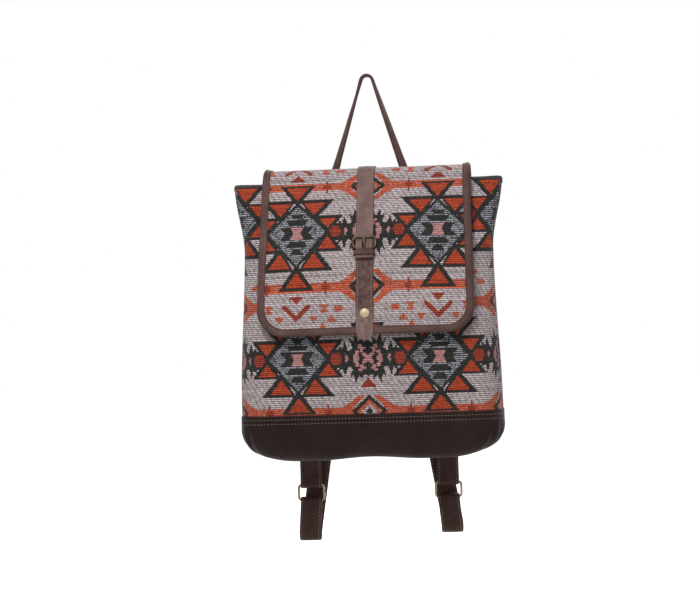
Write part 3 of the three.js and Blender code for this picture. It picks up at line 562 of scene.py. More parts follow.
def slack(x, z):
    """How the filled cloth swells and hollows along the front, in millimetres."""
    wave = np.sin(x / 37 + z / 58) * np.sin(z / 41 - x / 90) + 0.5 * np.sin(x / 19 - z / 33)
    return 0.9 * wave * smooth((BODY_TOP_Z - z) / 60)


def face_at(a, z, side, inset=0.0):
    """A point of the front (side -1) or back (side 1), a millimetres from its middle round the corners."""
    s = Section(z)
    corner = np.maximum(s.corner - inset, 2)
    half = s.half_width - inset - corner
    # A place on the cloth keeps its share of the width at every inset.
    outer = s.half_width - s.corner
    u = np.where(np.abs(a) < outer, np.abs(a) / outer, 1 + (np.abs(a) - outer) / (s.corner * HALF_TURN))
    u = np.minimum(u, 2)
    turn = np.maximum(u - 1, 0) * HALF_TURN
    x = np.sign(a) * (half * np.minimum(u, 1) + corner * np.sin(turn))
    crown = s.crown * (0.35 if side > 0 else 1) * np.where(u < 1, bell(np.minimum(u, 1)), 0)
    loose = slack(x, z) * np.where(side < 0, bell(np.minimum(u, 1)) ** 0.5, 0)
    depth = s.half_depth - inset - corner * (1 - np.cos(turn)) + crown + loose
    return xyz(x, s.centre_y + side * depth, z)


def face_reach(z):
    s = Section(z)
    return s.half_width - s.corner + s.corner * HALF_TURN


def side_at(u, z, side, inset=0.0):
    """A point of a gusset: u runs from -1 at the front seam to 1 at the back seam."""
    s = Section(z)
    half = np.maximum(s.half_depth - np.maximum(s.corner, inset + 2), 1)
    return xyz(side * (s.half_width - inset - s.dent * bell(u)), s.centre_y + u * half, z)


BODY_INSIDE = (0, -45, -290)
PANEL_REACH = 168  # from a panel's middle to its widest edge
PANEL_TUCK = 11  # cloth that runs down behind the leather
SEAM_WIDTH = 2.6
SEAM_DEPTH = 1.5
FACE_CHART_X = 1.5  # how far the pattern lies off the middle
GUSSET_CHART_X = 180
LOOP_CUT = 180  # the lining's and the hem's cut along each of the four sides
LINING_COLOUR = (0.06, 0.043, 0.037)
HEM_COLOUR = (0.055, 0.055, 0.058)


def tucked(z):
    """How far the cloth sinks where the leather lies over it."""
    return 1.5 * smooth((SEAM_Z + 1.2 - z) / 2.4)


def face_panel(name, side, pitch, node):
    z = np.arange(BODY_TOP_Z, SEAM_Z - PANEL_TUCK, -PICK * pitch)[:, None]
    a = np.arange(-PANEL_REACH, PANEL_REACH + 0.1, WARP * pitch)[None, :]
    reach = face_reach(z) - 0.3
    held = np.clip(a, -reach, reach)
    seam = SEAM_DEPTH * smooth((np.abs(held) - reach + SEAM_WIDTH) / SEAM_WIDTH) ** 2
    points = face_at(held, z + 0 * a, side, seam + tucked(z))
    chart = pairs(held + FACE_CHART_X * side, BODY_ROW_Z - z)
    piece = woven_sheet(name, points, pairs(held, -z), chart, BODY_INSIDE)
    return dress(piece, "bag", "woven_cloth", node)


def gusset_panel(name, side, node):
    z = np.arange(BODY_TOP_Z, SEAM_Z - PANEL_TUCK, -PICK)[:, None]
    u = np.linspace(-1, 1, 27)[None, :]
    seam = SEAM_DEPTH * smooth((np.abs(u) - 0.82) / 0.18) ** 2
    points = side_at(u, z + 0 * u, side, seam + tucked(z))
    s = Section(z)
    across = u * np.maximum(s.half_depth - s.corner, 1)
    chart = pairs(across + side * GUSSET_CHART_X, BODY_ROW_Z - z)
    piece = woven_sheet(name, points, pairs(across, -z), chart, BODY_INSIDE)
    return dress(piece, "bag", "woven_cloth", node)


def floor_z(x):
    """The base's underside: two sagging lobes, a shallow arch between them and lifted corners."""
    lift = 18 * clamp01((np.abs(x) - 85) / 65) ** 2
    return BODY_BOTTOM_Z + lift + 3.4 * bell(np.minimum(np.abs(x) / 62, 1))


def loop_at(q, z, inset):
    """A point round the whole body: q runs from 0 to 4 over front, right side, back and left side."""
    q = q + 0 * z
    z = z + 0 * q
    reach = face_reach(z)
    front = face_at((2 * q - 1) * reach, z, -1, inset)
    right = side_at(2 * (q - 1) - 1, z, 1, inset)
    back = face_at((1 - 2 * (q - 2)) * reach, z, 1, inset)
    left = side_at(1 - 2 * (q - 3), z, -1, inset)
    part = np.minimum(q.astype(int), 3)[..., None]
    return np.select([part == 0, part == 1, part == 2], [front, right, back], left)


def loop_columns(step):
    """Columns round the body, about as far apart on each of its four sides."""
    sides = enumerate(SIDE_LENGTHS)
    return np.concatenate([k + np.arange(0, 1, 1 / round(length / step)) for k, length in sides])


def bowl(columns, top_z, inset, wall_rows, edge_rows, floor_rows, proud=None):
    """Rings from the top down the walls, round the bottom edge and in to the middle."""
    wall_end = floor_z(loop_at(columns, SEAM_Z, inset)[:, 0]) + FLOOR_EDGE_RADIUS
    bend = FLOOR_EDGE_RADIUS - inset
    rings = []
    for share in np.linspace(0, 1, wall_rows):
        z = mix(top_z, wall_end, share)
        rings.append(loop_at(columns, z, inset - (proud(z) if proud else 0)))
    for angle in np.linspace(0, HALF_TURN, edge_rows)[1:]:
        p = loop_at(columns, wall_end, FLOOR_EDGE_RADIUS - bend * math.cos(angle))
        p[:, 2] = floor_z(p[:, 0]) + FLOOR_EDGE_RADIUS - bend * math.sin(angle)
        rings.append(p)
    edge = rings[-1]
    centre_y = Section(BODY_BOTTOM_Z).centre_y
    for share in np.linspace(1, 0.02, floor_rows)[1:]:
        x = edge[:, 0] * share
        rings.append(xyz(x, mix(centre_y, edge[:, 1], share), floor_z(x) + inset))
    return np.array(rings)


front = face_panel("front_cloth", -1, 1, "front_panel")
back = face_panel("back_cloth", 1, 1.3, "back_panel")
gussets = [gusset_panel(f"{name}_gusset_cloth", side, f"{name}_gusset") for name, side in SIDES]


def inner_bag():
    columns = loop_columns(5)
    rings = bowl(columns, BODY_TOP_Z - 1.5, LINING_INSET, 42, 6, 9)
    cut = pairs(columns[None, :] * LOOP_CUT, rings[..., 2])
    faces = tube_faces(*rings.shape[:2], open_start=True)
    lining = plain_sheet("lining_cloth", rings, cut, BODY_INSIDE, LINING_COLOUR, -1, faces)
    return dress(lining, "bag", "lining_cloth", "lining")


def mouth_hem():
    """The dark tape folded over the mouth's edge."""
    columns = loop_columns(2.5)
    fold = [(-0.2, -6.5), (-0.7, -5.8), (-0.8, -2), (-0.3, 0.2), (1.0, 1.0), (2.6, 1.0)]
    fold += [(4.0, 0.2), (4.5, -2), (4.4, -5.8), (3.9, -6.5)]
    rings = []
    for inset, rise in fold:
        ring = loop_at(columns, BODY_TOP_Z, inset)
        ring[:, 2] += rise + 0.25 * np.sin(columns * 40)
        rings.append(ring)
    cut = pairs(columns[None, :] * LOOP_CUT, 2.0 * np.arange(len(fold))[:, None])
    faces = grid_faces(len(fold), len(columns), True)
    hem = plain_sheet("mouth_hem", np.array(rings), cut, (0, -24, -127), HEM_COLOUR, faces=faces)
    return dress(hem, "bag", "lining_cloth")


lining = inner_bag()
hem = mouth_hem()


# Leather base

BASE_MIDDLE = (0, -48.3)

def base_proud(z):
    """The leather lies over the cloth at its top edge."""
    return BASE_OVERLAP * (0.35 + 0.65 * smooth((z - SEAM_Z + 30) / 22))


def leather_base():
    columns = loop_columns(2.4)
    rings = bowl(columns, SEAM_Z + 0.6, 0, 22, 10, 12, base_proud)
    x, z = rings[..., 0], rings[..., 2]
    out = rings[..., :2] - BASE_MIDDLE
    out /= np.maximum(np.linalg.norm(out, axis=-1, keepdims=True), 1e-6)
    corner = smooth((np.abs(x) - 108) / 34)
    low = bell(clamp01(np.abs(z - BODY_BOTTOM_Z - 22) / 26))
    pleats = 1.5 * corner * low * np.sin(rings[..., 1] / 3.1 + np.abs(x) / 4.2)
    waves = 1.1 * np.sin(x / 31 + 0.6) * low * (1 - corner) + 0.5 * np.sin(x / 13 + z / 9) * low
    rings[..., :2] += out * np.minimum(pleats + waves, 1.6)[..., None]
    # The cut edge at the top turns in to the cloth.
    lip = [loop_at(columns, SEAM_Z + rise, inset) for inset, rise in ((1.2, 0.5), (0.1, 1.0), (-0.55, 1.0))]
    rings = np.concatenate([lip, rings])
    rows = np.arange(len(rings))[:, None] + 0 * columns[None, :]
    wear_and_shade = 0.9 * np.exp(-np.abs(rows - 2) / 1.2) + 0.35 * np.exp(-(((rows - 30) / 5.0) ** 2))
    faces = tube_faces(*rings.shape[:2], open_start=True)
    piece = make("base_leather", rings, faces, base_hide, BODY_INSIDE, wear_and_shade=wear_and_shade)
    dress(piece, "bag", "dark_leather", "leather_base")


leather_base()


# Stitching

# One stitch: shares of its length and of its radius
STITCH = [(-0.5, 0.0), (-0.43, 0.72), (-0.2, 1.0), (0.2, 1.0), (0.43, 0.72), (0.5, 0.0)]
STITCH_SIDES = 6


def stitches(name, rows, material, pitch, length, radius=0.28, body="bag"):
    """Rows of stitches. Each row is a line of points on the leather with the leather's outward directions."""
    points, faces = [], []
    quads = grid_faces(len(STITCH), STITCH_SIDES, True)
    for line, out in rows:
        run = lengths(line)
        places = np.arange(pitch / 2, run[-1], pitch)
        middle, ahead, behind = (read_at(places + shift, run, line) for shift in (0, 0.5, -0.5))
        for m, a, b, n in zip(middle, ahead, behind, read_at(places, run, out)):
            along = (a - b) / max(np.linalg.norm(a - b), 1e-9)
            n = n - along * (n @ along)
            n /= max(np.linalg.norm(n), 1e-9)
            across = np.cross(along, n)
            faces += (quads + len(points)).tolist()
            tilt = 0.12 * rng.standard_normal()
            for t, r in STITCH:
                sink = -0.3 * (2 * t) ** 4 * radius
                centre = m + along * t * length + across * tilt * t * length + n * (0.3 * radius + sink)
                for turn in circle(STITCH_SIDES):
                    points.append(centre + radius * r * (math.cos(turn) * across + 0.8 * math.sin(turn) * n))
    return dress(make(name, points, faces, material), body, None)


def base_rows():
    columns = np.append(loop_columns(2.0), 4 - 1e-6)
    rows = []
    for drop in (3.4, 8.4):
        z = SEAM_Z - drop
        line = loop_at(columns, z, -base_proud(z))
        rows.append((line, line - loop_at(columns, z, 3.0 - base_proud(z))))
    return rows


stitches("base_stitching", base_rows(), pale_thread, 3.9, 2.6)


# Flap

def front_y(z):
    """The middle of the bag's front at a height."""
    s = Section(z)
    return float(s.centre_y - s.half_depth - s.crown)


def flap_gap(z):
    """How far the flap hangs in front of the bag."""
    return float(mix(3, 6.5, smooth((BODY_TOP_Z - z) / 80)))


class FlapProfile:
    """The flap's inner face in the YZ plane: up the back, over the mouth and down the front."""

    def __init__(self):
        s = Section(BODY_TOP_Z)
        back_y = float(s.centre_y + s.half_depth + 0.35 * s.crown) + 2.2
        middle = float(s.centre_y)
        points = [(back_y, -158), (back_y, -137), (back_y - 1.5, -121), (mix(back_y, middle, 0.5), -114)]
        points += [(middle - 2, -112), (mix(middle, front_y(BODY_TOP_Z), 0.65) - 2, -116)]
        points += [(front_y(z) - flap_gap(z), z) for z in np.linspace(-132, FLAP_BOTTOM_Z - 20, 9)]
        self.line = curve_through(np.array(points, float), 60)
        self.run = lengths(self.line)
        self.slope = np.gradient(self.line, self.run, axis=0)
        self.slope /= np.linalg.norm(self.slope, axis=1, keepdims=True)

    def at_height(self, z):
        front = self.run > 0.3 * self.run[-1]
        return float(np.interp(-z, -self.line[front, 1], self.run[front]))

    def point(self, x, s, n):
        """A point x across the flap, s along it and n out from its inner face."""
        x, s, n = np.broadcast_arrays(np.asarray(x, float), np.asarray(s, float), np.asarray(n, float))
        y, z = (np.interp(s, self.run, self.line[:, k]) for k in range(2))
        along_y, along_z = (np.interp(s, self.run, self.slope[:, k]) for k in range(2))
        off = n - FLAP_DRAPE * (x / FLAP_HALF) ** 2 * smooth((s - FLAP_TOP) / 60)
        return xyz(x, y + along_z * off, z - along_y * off)

    def frame(self, s):
        """Across, down the flap, and out of it."""
        y, z = (float(np.interp(s, self.run, self.slope[:, k])) for k in range(2))
        return np.array([-1.0, 0, 0]), np.array([0, y, z]), np.array([0, z, -y])


def curve_through(points, count):
    """A centripetal Catmull-Rom curve through points, with count steps from each to the next."""
    ends = np.concatenate([[2 * points[0] - points[1]], points, [2 * points[-1] - points[-2]]])
    t = np.linspace(0, 1, count, endpoint=False)[:, None]
    made = []
    for p0, p1, p2, p3 in zip(ends, ends[1:], ends[2:], ends[3:]):
        d0, d1, d2 = (max(np.linalg.norm(b - a) ** 0.5, 1e-6) for a, b in ((p0, p1), (p1, p2), (p2, p3)))
        m1 = ((p1 - p0) / d0 - (p2 - p0) / (d0 + d1) + (p2 - p1) / d1) * d1
        m2 = ((p2 - p1) / d1 - (p3 - p1) / (d1 + d2) + (p3 - p2) / d2) * d1
        made.append(p1 + m1 * t + (3 * (p2 - p1) - 2 * m1 - m2) * t**2 + (2 * (p1 - p2) + m1 + m2) * t**3)
    return np.concatenate([*made, points[-1:]])


flap = FlapProfile()
FLAP_TOP = flap.at_height(-113)
FLAP_END = flap.at_height(FLAP_BOTTOM_Z)
CORNER_START = FLAP_END - FLAP_CORNER_RADIUS
HEEL_S = flap.at_height(HEEL_Z)
SNAP_S = flap.at_height(SNAP_Z)


def flap_edge(s):
    return mix(FLAP_TOP_HALF, FLAP_HALF, np.minimum(s, CORNER_START) / FLAP_END)


def flap_half(s, inset):
    """Half of the flap's width at a distance along it, inside its outline by an inset."""
    radius = FLAP_CORNER_RADIUS - inset
    into = clamp01((s - CORNER_START) / radius)
    return flap_edge(s) - FLAP_CORNER_RADIUS + radius * np.sqrt(1 - into**2)


def puff(x, s):
    """The flap's cloth sits a little full between its bound edges."""
    across = bell(np.minimum(np.abs(x) / 122, 1))
    along = bell(clamp01(np.abs(s - 0.55 * FLAP_END) / (0.5 * FLAP_END)))
    return 0.5 * across * along * (1 + np.sin(x / 23 + s / 31)) * smooth((np.abs(x) - 11) / 8)


FLAP_INSIDE = (0, -24, -160)
FLAP_CHART_X = 2.5


def flap_layer(n, pitch, full):
    """A grid of the flap's cloth at a distance from its inner face, and its cut."""
    end = FLAP_END - FLAP_INSET
    s = np.append(np.arange(0, end, PICK * pitch), end - 1e-3)[:, None]
    x = np.arange(-FLAP_HALF, FLAP_HALF + 0.1, WARP * pitch)[None, :]
    half = flap_half(s, FLAP_INSET)
    held = np.clip(x, -half, half)
    return flap.point(held, s + 0 * x, n + full * puff(held, s)), pairs(held, s)


flap_points, flap_cut = flap_layer(FLAP_OUTER, 1, 1)
flap_along = flap_cut[..., 1] - flap.at_height(FLAP_ROW_Z)
flap_along = flap_along / np.where(flap_along > 0, FLAP_STRETCH, FLAP_CROWD)
flap_chart = pairs(flap_cut[..., 0] - FLAP_CHART_X, flap_along)
flap_cloth = woven_sheet("flap_cloth", flap_points, flap_cut, flap_chart, FLAP_INSIDE)
dress(flap_cloth, "bag", "woven_cloth", "flap")
under_points, under_cut = flap_layer(0.45, 3, 0)
flap_under = plain_sheet("flap_lining_cloth", under_points, under_cut, FLAP_INSIDE, LINING_COLOUR, -1)
dress(flap_under, "bag", "lining_cloth", "flap_lining")


def binding_stations():
    """The flap's edge, down one side, round the bottom and up the other, with the way in from it."""
    s = np.arange(0, CORNER_START, 2.0)
    side = np.stack([flap_edge(s), s, -1 + 0 * s, 0 * s], -1)
    a = np.linspace(0, HALF_TURN, 24)
    middle = flap_edge(CORNER_START) - FLAP_CORNER_RADIUS
    x, y = FLAP_CORNER_RADIUS * np.cos(a), FLAP_CORNER_RADIUS * np.sin(a)
    corner = np.stack([middle + x, CORNER_START + y, -np.cos(a), -np.sin(a)], -1)
    x = np.linspace(middle, 0, 34)[1:]
    bottom = np.stack([x, FLAP_END + 0 * x, 0 * x, -1 + 0 * x], -1)
    right = np.concatenate([side, corner, bottom])
    left = right[:-1] * (-1, 1, -1, 1)
    return np.concatenate([left, right[::-1]])


def flap_binding():
    stations = binding_stations()
    x, s, in_x, in_s = stations.T
    wide, top, low = BINDING_WIDTH, BINDING_TOP_N - 0.05, -1.5
    outline = [(wide, 3.5), (wide, 4.35), (wide - 0.6, top), (6.9, top - 0.05), (BINDING_STITCH, top - 0.35)]
    outline += [(5.5, top - 0.02), (3.4, top + 0.15), (1.5, top - 0.1), (0.45, top - 0.9), (0, 2.6), (0, 0.6)]
    outline += [(0.45, low + 0.9), (1.5, low + 0.1), (5, low), (wide - 0.6, low), (wide, low + 0.4)]
    outline += [(wide, -0.2), (1.6, -0.2), (1.6, 3.5)]
    # Painted shade on the binding's rounded rims: weights high at both edges and low along its middle.
    worn_and_shaded = [0.2, 0.7, 0.7, 0.1, 0, 0.1, 0.2, 0.3, 0.6, 0.8, 0.5] + [0.1] * 8
    wobble = 0.25 * np.sin(np.arange(len(stations)) / 9.0)
    beside_strap = smooth((np.abs(x) - 12) / 10)

    def on_edge(inward, n):
        return flap.point(x + in_x * inward, s + in_s * inward, n)

    rings = []
    for p, n in outline:
        crown = 0.9 * math.sin(math.pi * min(p / BINDING_STITCH, 1)) * (n > 4)
        rings.append(on_edge(p + wobble * (p > 8), n + crown * beside_strap))
    faces = tube_faces(len(stations), len(outline))
    wear_and_shade = np.tile(worn_and_shaded, (len(stations), 1))
    piece = make("flap_edge_binding", np.array(rings).transpose(1, 0, 2), faces, brown_leather, wear_and_shade=wear_and_shade)
    dress(piece, "bag", "brown_leather", "flap_binding")
    line, above = on_edge(BINDING_STITCH, top - 0.3), on_edge(BINDING_STITCH, top + 2)
    stitches("binding_stitching", [(line, above - line)], brown_thread, 3.3, 2.4, 0.3)


flap_binding()


# Straps

def spaced(path, step, detail=12):
    """Points a step apart on a smooth curve through a path."""
    fine = curve_through(np.asarray(path, float), detail)
    run = lengths(fine)
    return read_at(np.linspace(0, run[-1], max(int(run[-1] / step), 4) + 1), run, fine)


def strap_frames(path, across_at=None):
    """The directions of a strap along its path: along, across and out."""
    along = np.gradient(path, axis=0)
    along /= np.linalg.norm(along, axis=1, keepdims=True)
    across = np.tile([1.0, 0, 0], (len(path), 1)) if across_at is None else across_at(along, path)
    across = across - along * (across * along).sum(1, keepdims=True)
    across /= np.linalg.norm(across, axis=1, keepdims=True)
    return along, across, np.cross(along, across)


def strap_outline(width, thickness, groove):
    """A strap's section: rounded edges, and a groove along each stitch row. Gives points and their edge
    weights, for scuffing on the dark leathers and painted shade on the brown ones.
    """
    half, high = width / 2, thickness / 2
    r = min(0.45 * thickness, 0.9)
    top = [(half, high - r, 1.0), (half - 0.3 * r, high - 0.3 * r, 1.0), (half - r, high, 0.8)]
    if groove:
        at = half - groove
        top += [(at + 0.6, high, 0.15), (at, high - 0.22, 0.0), (at - 0.6, high, 0.05)]
    top += [(half * 0.35, high + 0.12, 0.0)]
    right = top[::-1]
    upper = [(-p, q, w) for p, q, w in top] + right
    lower = [(p, -q, w) for p, q, w in upper[::-1]]
    return np.array(upper + lower)


def strap(name, path, width, thickness, material, groove=2.4, across_at=None, width_at=None, faded=None):
    """A leather strap along a path. Its edges take the leather's second colour, scuffing on dark leather and
    painted shade on brown leather, or else it fades along the path.
    """
    _, across, out = strap_frames(path, across_at)
    outline = strap_outline(width, thickness, groove)
    share = np.ones(len(path)) if width_at is None else width_at
    sideways = across[:, None] * (outline[None, :, :1] * share[:, None, None])
    rings = path[:, None] + sideways + out[:, None] * outline[None, :, 1:2]
    sides = len(outline)
    faces = tube_faces(len(path), sides)
    # Edge weights: scuffing on dark leather, painted shade along the rounded edges and ends of the brown
    # leathers.
    wear_and_shade = np.tile(outline[:, 2], (len(path), 1))
    wear_and_shade[[0, -1]] = 0.8
    if faded is not None:
        wear_and_shade = np.repeat(faded, sides)
    return make(name, rings, faces, material, wear_and_shade=wear_and_shade)


def strap_rows(path, width, thickness, groove=2.4, across_at=None, face=1, part=slice(None), width_at=None):
    """The two stitch rows of a strap, on one of its faces."""
    _, across, out = strap_frames(path, across_at)
    share = np.ones(len(path)) if width_at is None else width_at
    rows = []
    for hand in (-1, 1):
        reach = np.maximum(width / 2 * share - groove, 0.5)[:, None]
        line = path + across * hand * reach + out * face * (thickness / 2 - 0.2)
        rows.append((line[part], (out * face)[part]))
    return rows


def both_faces(*measures):
    """The stitch rows on a strap's two faces."""
    return strap_rows(*measures, face=1) + strap_rows(*measures, face=-1)


def flap_route(route, step=1.0):
    """A path down the flap's middle, from places along it and out of it."""
    line = curve_through(np.array(route, float), 14)
    run = lengths(line)
    return flap.point(0, *read_at(np.linspace(0, run[-1], int(run[-1] / step) + 1), run, line).T)


def cut_slot(obj, length, below, centre_n):
    """Cuts an oval slot through a strap on the flap, near the buckle's heel bar."""
    across, down, out = flap.frame(HEEL_S)
    origin = flap.point(0, HEEL_S, 0)
    radius, straight = SLOT_WIDTH / 2, (length - SLOT_WIDTH) / 2
    ring = []
    for t in np.linspace(0, 2 * math.pi, 28, endpoint=False):
        end = straight * np.sign(math.sin(t) + 1e-9)
        ring.append(across * radius * math.cos(t) + down * (radius * math.sin(t) + end + below))
    points = [origin + p + out * (centre_n + h) for h in (-6, 6) for p in ring]
    middle = origin + out * centre_n + down * below
    tool = make("slot_tool", points, tube_faces(2, len(ring)), obj.data.materials[0], inside=middle)
    modifier = obj.modifiers.new("slot", "BOOLEAN")
    modifier.object = tool
    modifier.solver = "EXACT"
    bpy.context.view_layer.update()
    shaped = bpy.data.meshes.new_from_object(obj.evaluated_get(bpy.context.evaluated_depsgraph_get()))
    obj.modifiers.clear()
    obj.data = shaped
    bpy.data.objects.remove(tool)
    return obj


def closing_straps():
    crest = FOLD_TOP_N + CLEAR + UPPER_LEATHER / 2
    seat = STRAP_SEAT + UPPER_LEATHER / 2
    bar_s = HEEL_S - BUCKLE_SPAN
    keeper_s = HEEL_S + KEEPER_START
    route = [(s, seat) for s in np.arange(22, bar_s - 4, 9.0)]
    route += [(bar_s, seat), (bar_s + 3, seat + 0.8), (HEEL_S - 4, crest - 0.9), (HEEL_S - 1, crest)]
    route += [(HEEL_S + 2, crest - 0.2), (keeper_s, UPPER_END_N + 0.1)]
    route += [(keeper_s + KEEPER_WIDTH + 3, UPPER_END_N)]
    upper_path = flap_route(route)
    upper_measures = (CLOSING_WIDTH, UPPER_LEATHER)
    upper = strap("closing_upper_leather", upper_path, *upper_measures, strap_leather, CLOSING_GROOVE)
    cut_slot(upper, 13, -3, crest - 2)
    dress(upper, "bag", "brown_leather", "closing_strap_upper")

    radius = HEEL_N - LOWER_SEAT_N
    end = FLAP_END + 6
    raised = BINDING_TOP_N + CLEAR + LOWER_LEATHER / 2
    rise = FLAP_END - BINDING_WIDTH
    turns = np.linspace(HALF_TURN, 3 * HALF_TURN, 9)
    route = [(keeper_s + KEEPER_WIDTH + 4, DOUBLED_N), (keeper_s, DOUBLED_N)]
    route += [(HEEL_S + radius * math.cos(a), HEEL_N + radius * math.sin(a)) for a in turns]
    route += [(s, LOWER_SEAT_N) for s in np.linspace(HEEL_S + 6, rise - 12, 6)]
    route += [(s, raised) for s in (rise - 2, end - 9, end - 3, end)]
    lower_path = flap_route(route, 0.8)
    left = np.linalg.norm(lower_path - lower_path[-1], axis=1)
    left[: len(left) // 2] = 99
    tip = np.where(left < 10, 0.42 + 0.58 * np.sqrt(clamp01(left / 10)), 1)
    faded = 0.75 * (1 - smooth((left - 22) / 22))
    lower_measures = (CLOSING_WIDTH, LOWER_LEATHER)
    lower = strap(
        "closing_lower_leather", lower_path, *lower_measures, faded_leather, CLOSING_GROOVE,
        width_at=tip, faded=faded,
    )
    cut_slot(lower, 10, 0, HEEL_N)
    dress(lower, "bag", "brown_leather", "closing_strap_lower")

    rows = strap_rows(upper_path, *upper_measures, CLOSING_GROOVE, face=outward(upper_path))
    visible = slice(int(len(lower_path) * 0.3), None)
    face = outward(lower_path)
    rows += strap_rows(lower_path, *lower_measures, CLOSING_GROOVE, face=face, part=visible, width_at=tip)
    stitches("closing_stitching", rows, strap_thread, 3.0, 2.2)


def outward(path):
    """The face of a strap that looks away from the flap, most of the way down it."""
    return 1 if strap_frames(path)[2][int(len(path) * 0.75)][1] < 0 else -1


def keeper():
    """A leather band over both straps, just below the buckle."""
    across, down, out = flap.frame(HEEL_S)
    origin = flap.point(0, HEEL_S, 0) + down * (KEEPER_START + KEEPER_WIDTH / 2)
    inside = CLOSING_WIDTH / 2 + 0.6 + KEEPER_LEATHER / 2
    top = UPPER_END_N + UPPER_LEATHER / 2 + CLEAR + KEEPER_LEATHER / 2
    corner = 2.2
    turns = np.linspace(0.3, HALF_TURN, 5)
    route = [(-inside, STRAP_SEAT), (-inside, top - corner)]
    route += [(-inside + corner - corner * math.cos(a), top - corner + corner * math.sin(a)) for a in turns]
    route += [(p, top + 0.25) for p in (-4, 0, 4)]
    route += [(-p, n) for p, n in route[:7]][::-1]
    path = spaced([origin + across * p + out * n for p, n in route], 0.6)

    def across_at(along, at):
        return np.tile(down, (len(at), 1))

    band = strap("keeper_leather", path, KEEPER_WIDTH, KEEPER_LEATHER, brown_leather, 0, across_at)
    dress(band, "bag", "brown_leather", "strap_keeper")


closing_straps()
keeper()


# Brass

def closed_tube(name, path, radius, material, normal, sides=20):
    """A round bar along a closed path in a plane with this normal."""
    path, normal = np.asarray(path, float), np.asarray(normal, float)
    along = np.roll(path, -1, 0) - np.roll(path, 1, 0)
    along /= np.linalg.norm(along, axis=1, keepdims=True)
    a = circle(sides)[None, :, None]
    rings = path[:, None] + radius * (np.cos(a) * np.cross(along, normal)[:, None] + np.sin(a) * normal)
    faces = grid_faces(len(path) + 1, sides, True) % (len(path) * sides)
    return make(name, rings, faces, material)


def rounded_loop(width, height, corner):
    """A rounded rectangle about the origin."""
    points = []
    for quarter, (sx, sy) in enumerate(((1, 1), (-1, 1), (-1, -1), (1, -1))):
        x, y = sx * (width / 2 - corner), sy * (height / 2 - corner)
        turns = np.linspace(quarter * HALF_TURN, (quarter + 1) * HALF_TURN, 9)
        points += [(x + corner * math.cos(a), y + corner * math.sin(a)) for a in turns]
    return points


def buckle():
    across, down, out = flap.frame(HEEL_S)
    origin = flap.point(0, HEEL_S, 0)
    slant = (TOP_BAR_N - HEEL_N) / BUCKLE_SPAN
    loop = rounded_loop(BUCKLE_WIDTH - 2 * BUCKLE_BAR, BUCKLE_SPAN, 3)
    loop = [(p, q - BUCKLE_SPAN / 2) for p, q in loop]
    path = [origin + across * p + down * q + out * (HEEL_N - q * slant) for p, q in loop]
    piece = closed_tube("buckle_frame_brass", path, BUCKLE_BAR, dark_brass, out)
    dress(piece, "bag", "antique_brass", "buckle_frame")

    bar = origin + out * HEEL_N
    line = [bar - down * p + out * n for p, n in prong_line()]
    piece = strap("prong_brass", spaced(line, 0.45), 2.4, 1.1, dark_brass, 0)
    dress(piece, "prong", "antique_brass", "buckle_prong")


def prong_line():
    """The prong, round the heel bar and over the top bar, as places up the flap and out of it."""
    eye = 1.98
    rest = TOP_BAR_N - HEEL_N + BUCKLE_BAR + 0.15 + 0.95
    turn = [(eye * math.cos(a), eye * math.sin(a)) for a in np.linspace(0.15, -1.5 * math.pi, 22)]
    return turn + [(2.6, eye + 0.05), (6.0, mix(eye, rest, 0.5)), (9.5, rest), (13.2, rest)]


def turned(name, outline, seat, material, sides=40):
    """A turned piece of the snap, from radii and heights above its seat on the flap."""
    across, down, out = flap.frame(SNAP_S)
    origin = flap.point(0, SNAP_S, 0)
    a = circle(sides)[:, None]
    around = np.cos(a) * across + np.sin(a) * down
    radii, heights = np.transpose(outline)
    heights = heights + seat
    rings = [origin + r * around + h * out for r, h in zip(radii, heights)]
    middle = origin + out * (heights.min() + heights.max()) / 2
    return make(name, rings, tube_faces(len(rings), sides), material, inside=middle)


def snap():
    cap = [(2, -5.6), (2, 0), (5.3, 0), (5.5, 0.2), (5.5, 0.6), (5.2, 1.0), (4.7, 1.2)]
    cap += [(4.3, 1.15), (4.0, 1.25), (3.0, 1.6), (1.5, 1.85), (0.05, 1.95)]
    cap_seat = LOWER_SEAT_N + LOWER_LEATHER / 2 + 0.3
    dress(turned("snap_cap_brass", cap, cap_seat, bright_brass), "bag", "bright_brass", "snap_cap")
    socket = [(0.05, 0), (7.4, 0), (8, -0.4), (8, -1.7), (7.4, -2.4)]
    socket += [(3.4, -2.4), (2.4, -2.1), (2.4, -0.8), (0.05, -0.8)]
    dress(turned("snap_socket_brass", socket, -0.7, antique_brass), "bag", "antique_brass", "snap_socket")
    stud = [(0.05, 0), (7.8, 0), (8, 0.3), (8, 0.9), (7.3, 1.4)]
    stud += [(2.2, 1.5), (1.9, 1.9), (1.9, 2.6), (1.4, 3), (0.05, 3)]
    dress(turned("snap_stud_brass", stud, -6.0, antique_brass), "bag", "antique_brass", "snap_stud")


buckle()
snap()


# Handle and yoke

# Heights on the handle, and the share of its quarter turn there
HANDLE_TWIST = [
    (-140, 0), (-132, 0.08), (-118, 0.38), (-95, 0.6), (-70, 0.71), (-46, 0.8), (-25, 0.9), (-6, 1),
]


